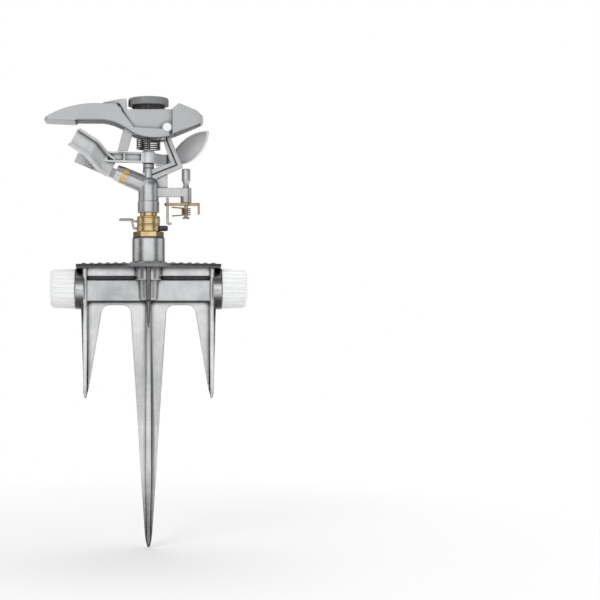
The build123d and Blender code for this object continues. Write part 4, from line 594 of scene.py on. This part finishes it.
# Tent, a drum: the profile runs from the floor's middle out to the wall, up it and in to the ceiling's middle,
# and is carried round: x = r sin a, y = -r cos a, with a from the front. Pairs are where a glow starts and is full
tent = {"radius": 0.95, "hub": 0.001, "lift": 0.001, "top": 1.0, "columns": 96, "cloth": 0.12,
        "front": 0.92, "frontFade": (0.68, 0.9), "side": 0.60, "sideFade": (0.88, 0.97),
        "windowLow": -0.16, "lowFade": 0.1, "windowHigh": 0.36, "highFade": 0.2,
        "floor": 0.90, "floorFade": (0.0012, 0.03), "floorReach": (0.10, 0.28), "floorLeast": 0.25,
        "ceiling": 0.85, "ceilingFade": (0.02, 0.001), "ceilingReach": 0.6, "ceilingSoft": 0.15}
wayRadius = np.array([tent["hub"], 1, 1, tent["hub"]]) * tent["radius"]
wayLift = np.array([floorZ + tent["lift"], floorZ + tent["lift"], tent["top"], tent["top"]])
turn, way = np.meshgrid(np.linspace(0, 2 * np.pi, tent["columns"], endpoint=False), np.arange(4), indexing="xy")
tentPoints = np.stack([wayRadius[way] * np.sin(turn), -wayRadius[way] * np.cos(turn), wayLift[way]], -1)
tentFinish, tentTree, _, tentCoords = startFinish("tentCloth")
tentParts = putNode(tentTree, "ShaderNodeSeparateXYZ", [("Vector", tentCoords)])
upward = tentParts.outputs["Z"]
wallShare = product(tentTree,
                    between(tentTree, upward, 0, 1, tent["windowLow"], tent["windowLow"] + tent["lowFade"]),
                    between(tentTree, upward, 1, 0, tent["windowHigh"], tent["windowHigh"] + tent["highFade"]))
sideways = reckon(tentTree, "ABSOLUTE", tentParts.outputs["X"])
endways = reckon(tentTree, "ABSOLUTE", tentParts.outputs["Y"])
reachOut = reckon(tentTree, "MAXIMUM", sideways, endways)


def wallGlow(away, strength, fade):
    start, full = (share * tent["radius"] for share in fade)
    return product(tentTree, wallShare, between(tentTree, away, 0, strength, start, full))


floorStart, floorFull = (floorZ + lift for lift in tent["floorFade"])
ceilingStart, ceilingFull = (tent["top"] - drop for drop in tent["ceilingFade"])
ceilingInner = tent["ceilingReach"] - tent["ceilingSoft"]
floorGlow = product(tentTree, between(tentTree, upward, tent["floor"], 0, floorStart, floorFull),
                    between(tentTree, reachOut, tent["floorLeast"], 1, *tent["floorReach"]))
ceilingGlow = product(tentTree, between(tentTree, upward, 0, tent["ceiling"], ceilingStart, ceilingFull),
                      between(tentTree, reachOut, 1, 0, ceilingInner, tent["ceilingReach"]))
glow = reckon(tentTree, "MAXIMUM", wallGlow(endways, tent["front"], tent["frontFade"]),
              wallGlow(sideways, tent["side"], tent["sideFade"]))
for part in (floorGlow, ceilingGlow):
    glow = reckon(tentTree, "MAXIMUM", glow, part)
strength = between(tentTree, glow, tent["cloth"], 1, tent["cloth"], 1)
tentGlow = putNode(tentTree, "ShaderNodeEmission", [("Strength", strength)])
tentTree.links.new(tentGlow.outputs["Emission"], tentTree.nodes["Material Output"].inputs["Surface"])
tentPiece = stageMesh("tent", tentPoints.reshape(-1, 3).tolist(), ringFaces(4, tent["columns"], False), tentFinish)
tentPiece.visible_camera = False
tentPiece.visible_diffuse = False
tentPiece.visible_shadow = False
tentPiece.visible_transmission = False

world = bpy.data.worlds.new("surround")
scene.world = world
world.use_nodes = True
worldTree = world.node_tree
background = worldTree.nodes["Background"]
background.inputs["Color"].default_value = (1, 1, 1, 1)
surround = between(worldTree, seenRays(worldTree), studio["surround"], 1.0, 0, 1)
worldTree.links.new(surround, background.inputs["Strength"])

lamps = {"keyLamp": {"place": (-0.7, -1.1, 0.9), "aim": (0, 0, 0.05), "size": (0.7, 0.9), "watts": 8.5},
         "fillLamp": {"place": (1.0, -0.8, 0.3), "aim": (0, 0, 0.0), "size": (0.6, 0.9), "watts": 4.5},
         "topLamp": {"place": (0.1, 0.3, 1.2), "aim": (0, 0, 0.1), "size": (1.0, 0.8), "watts": 9.0}}
for name, look in lamps.items():
    lamp = bpy.data.lights.new(name, "AREA")
    lamp.energy = look["watts"]
    lamp.shape = "RECTANGLE"
    lamp.size, lamp.size_y = look["size"]
    holder = bpy.data.objects.new(name, lamp)
    scene.collection.objects.link(holder)
    holder.location = look["place"]
    way = np.array(look["aim"]) - np.array(look["place"])
    tilt = math.atan2(np.hypot(way[0], way[1]), -way[2])
    holder.rotation_euler = (tilt, 0, math.atan2(way[1], way[0]) - math.pi / 2)

# Camera at the photograph's front view: one metre away, level with the ground line, object to the left
view = {"distance": 1.0, "height": 0.0016, "lens": 75.0, "sensor": 36.0, "shift": 0.2525, "nearest": 0.01}
eye = bpy.data.cameras.new("frontCamera")
eye.lens = view["lens"]
eye.sensor_width = view["sensor"]
eye.shift_x = view["shift"]
eye.clip_start = view["nearest"]
eyeHolder = bpy.data.objects.new("frontCamera", eye)
scene.collection.objects.link(eyeHolder)
eyeHolder.location = (0, -view["distance"], view["height"])
eyeHolder.rotation_euler = (math.pi / 2, 0, 0)
scene.camera = eyeHolder
scene.view_settings.view_transform = "Standard"
print("studio and camera set")
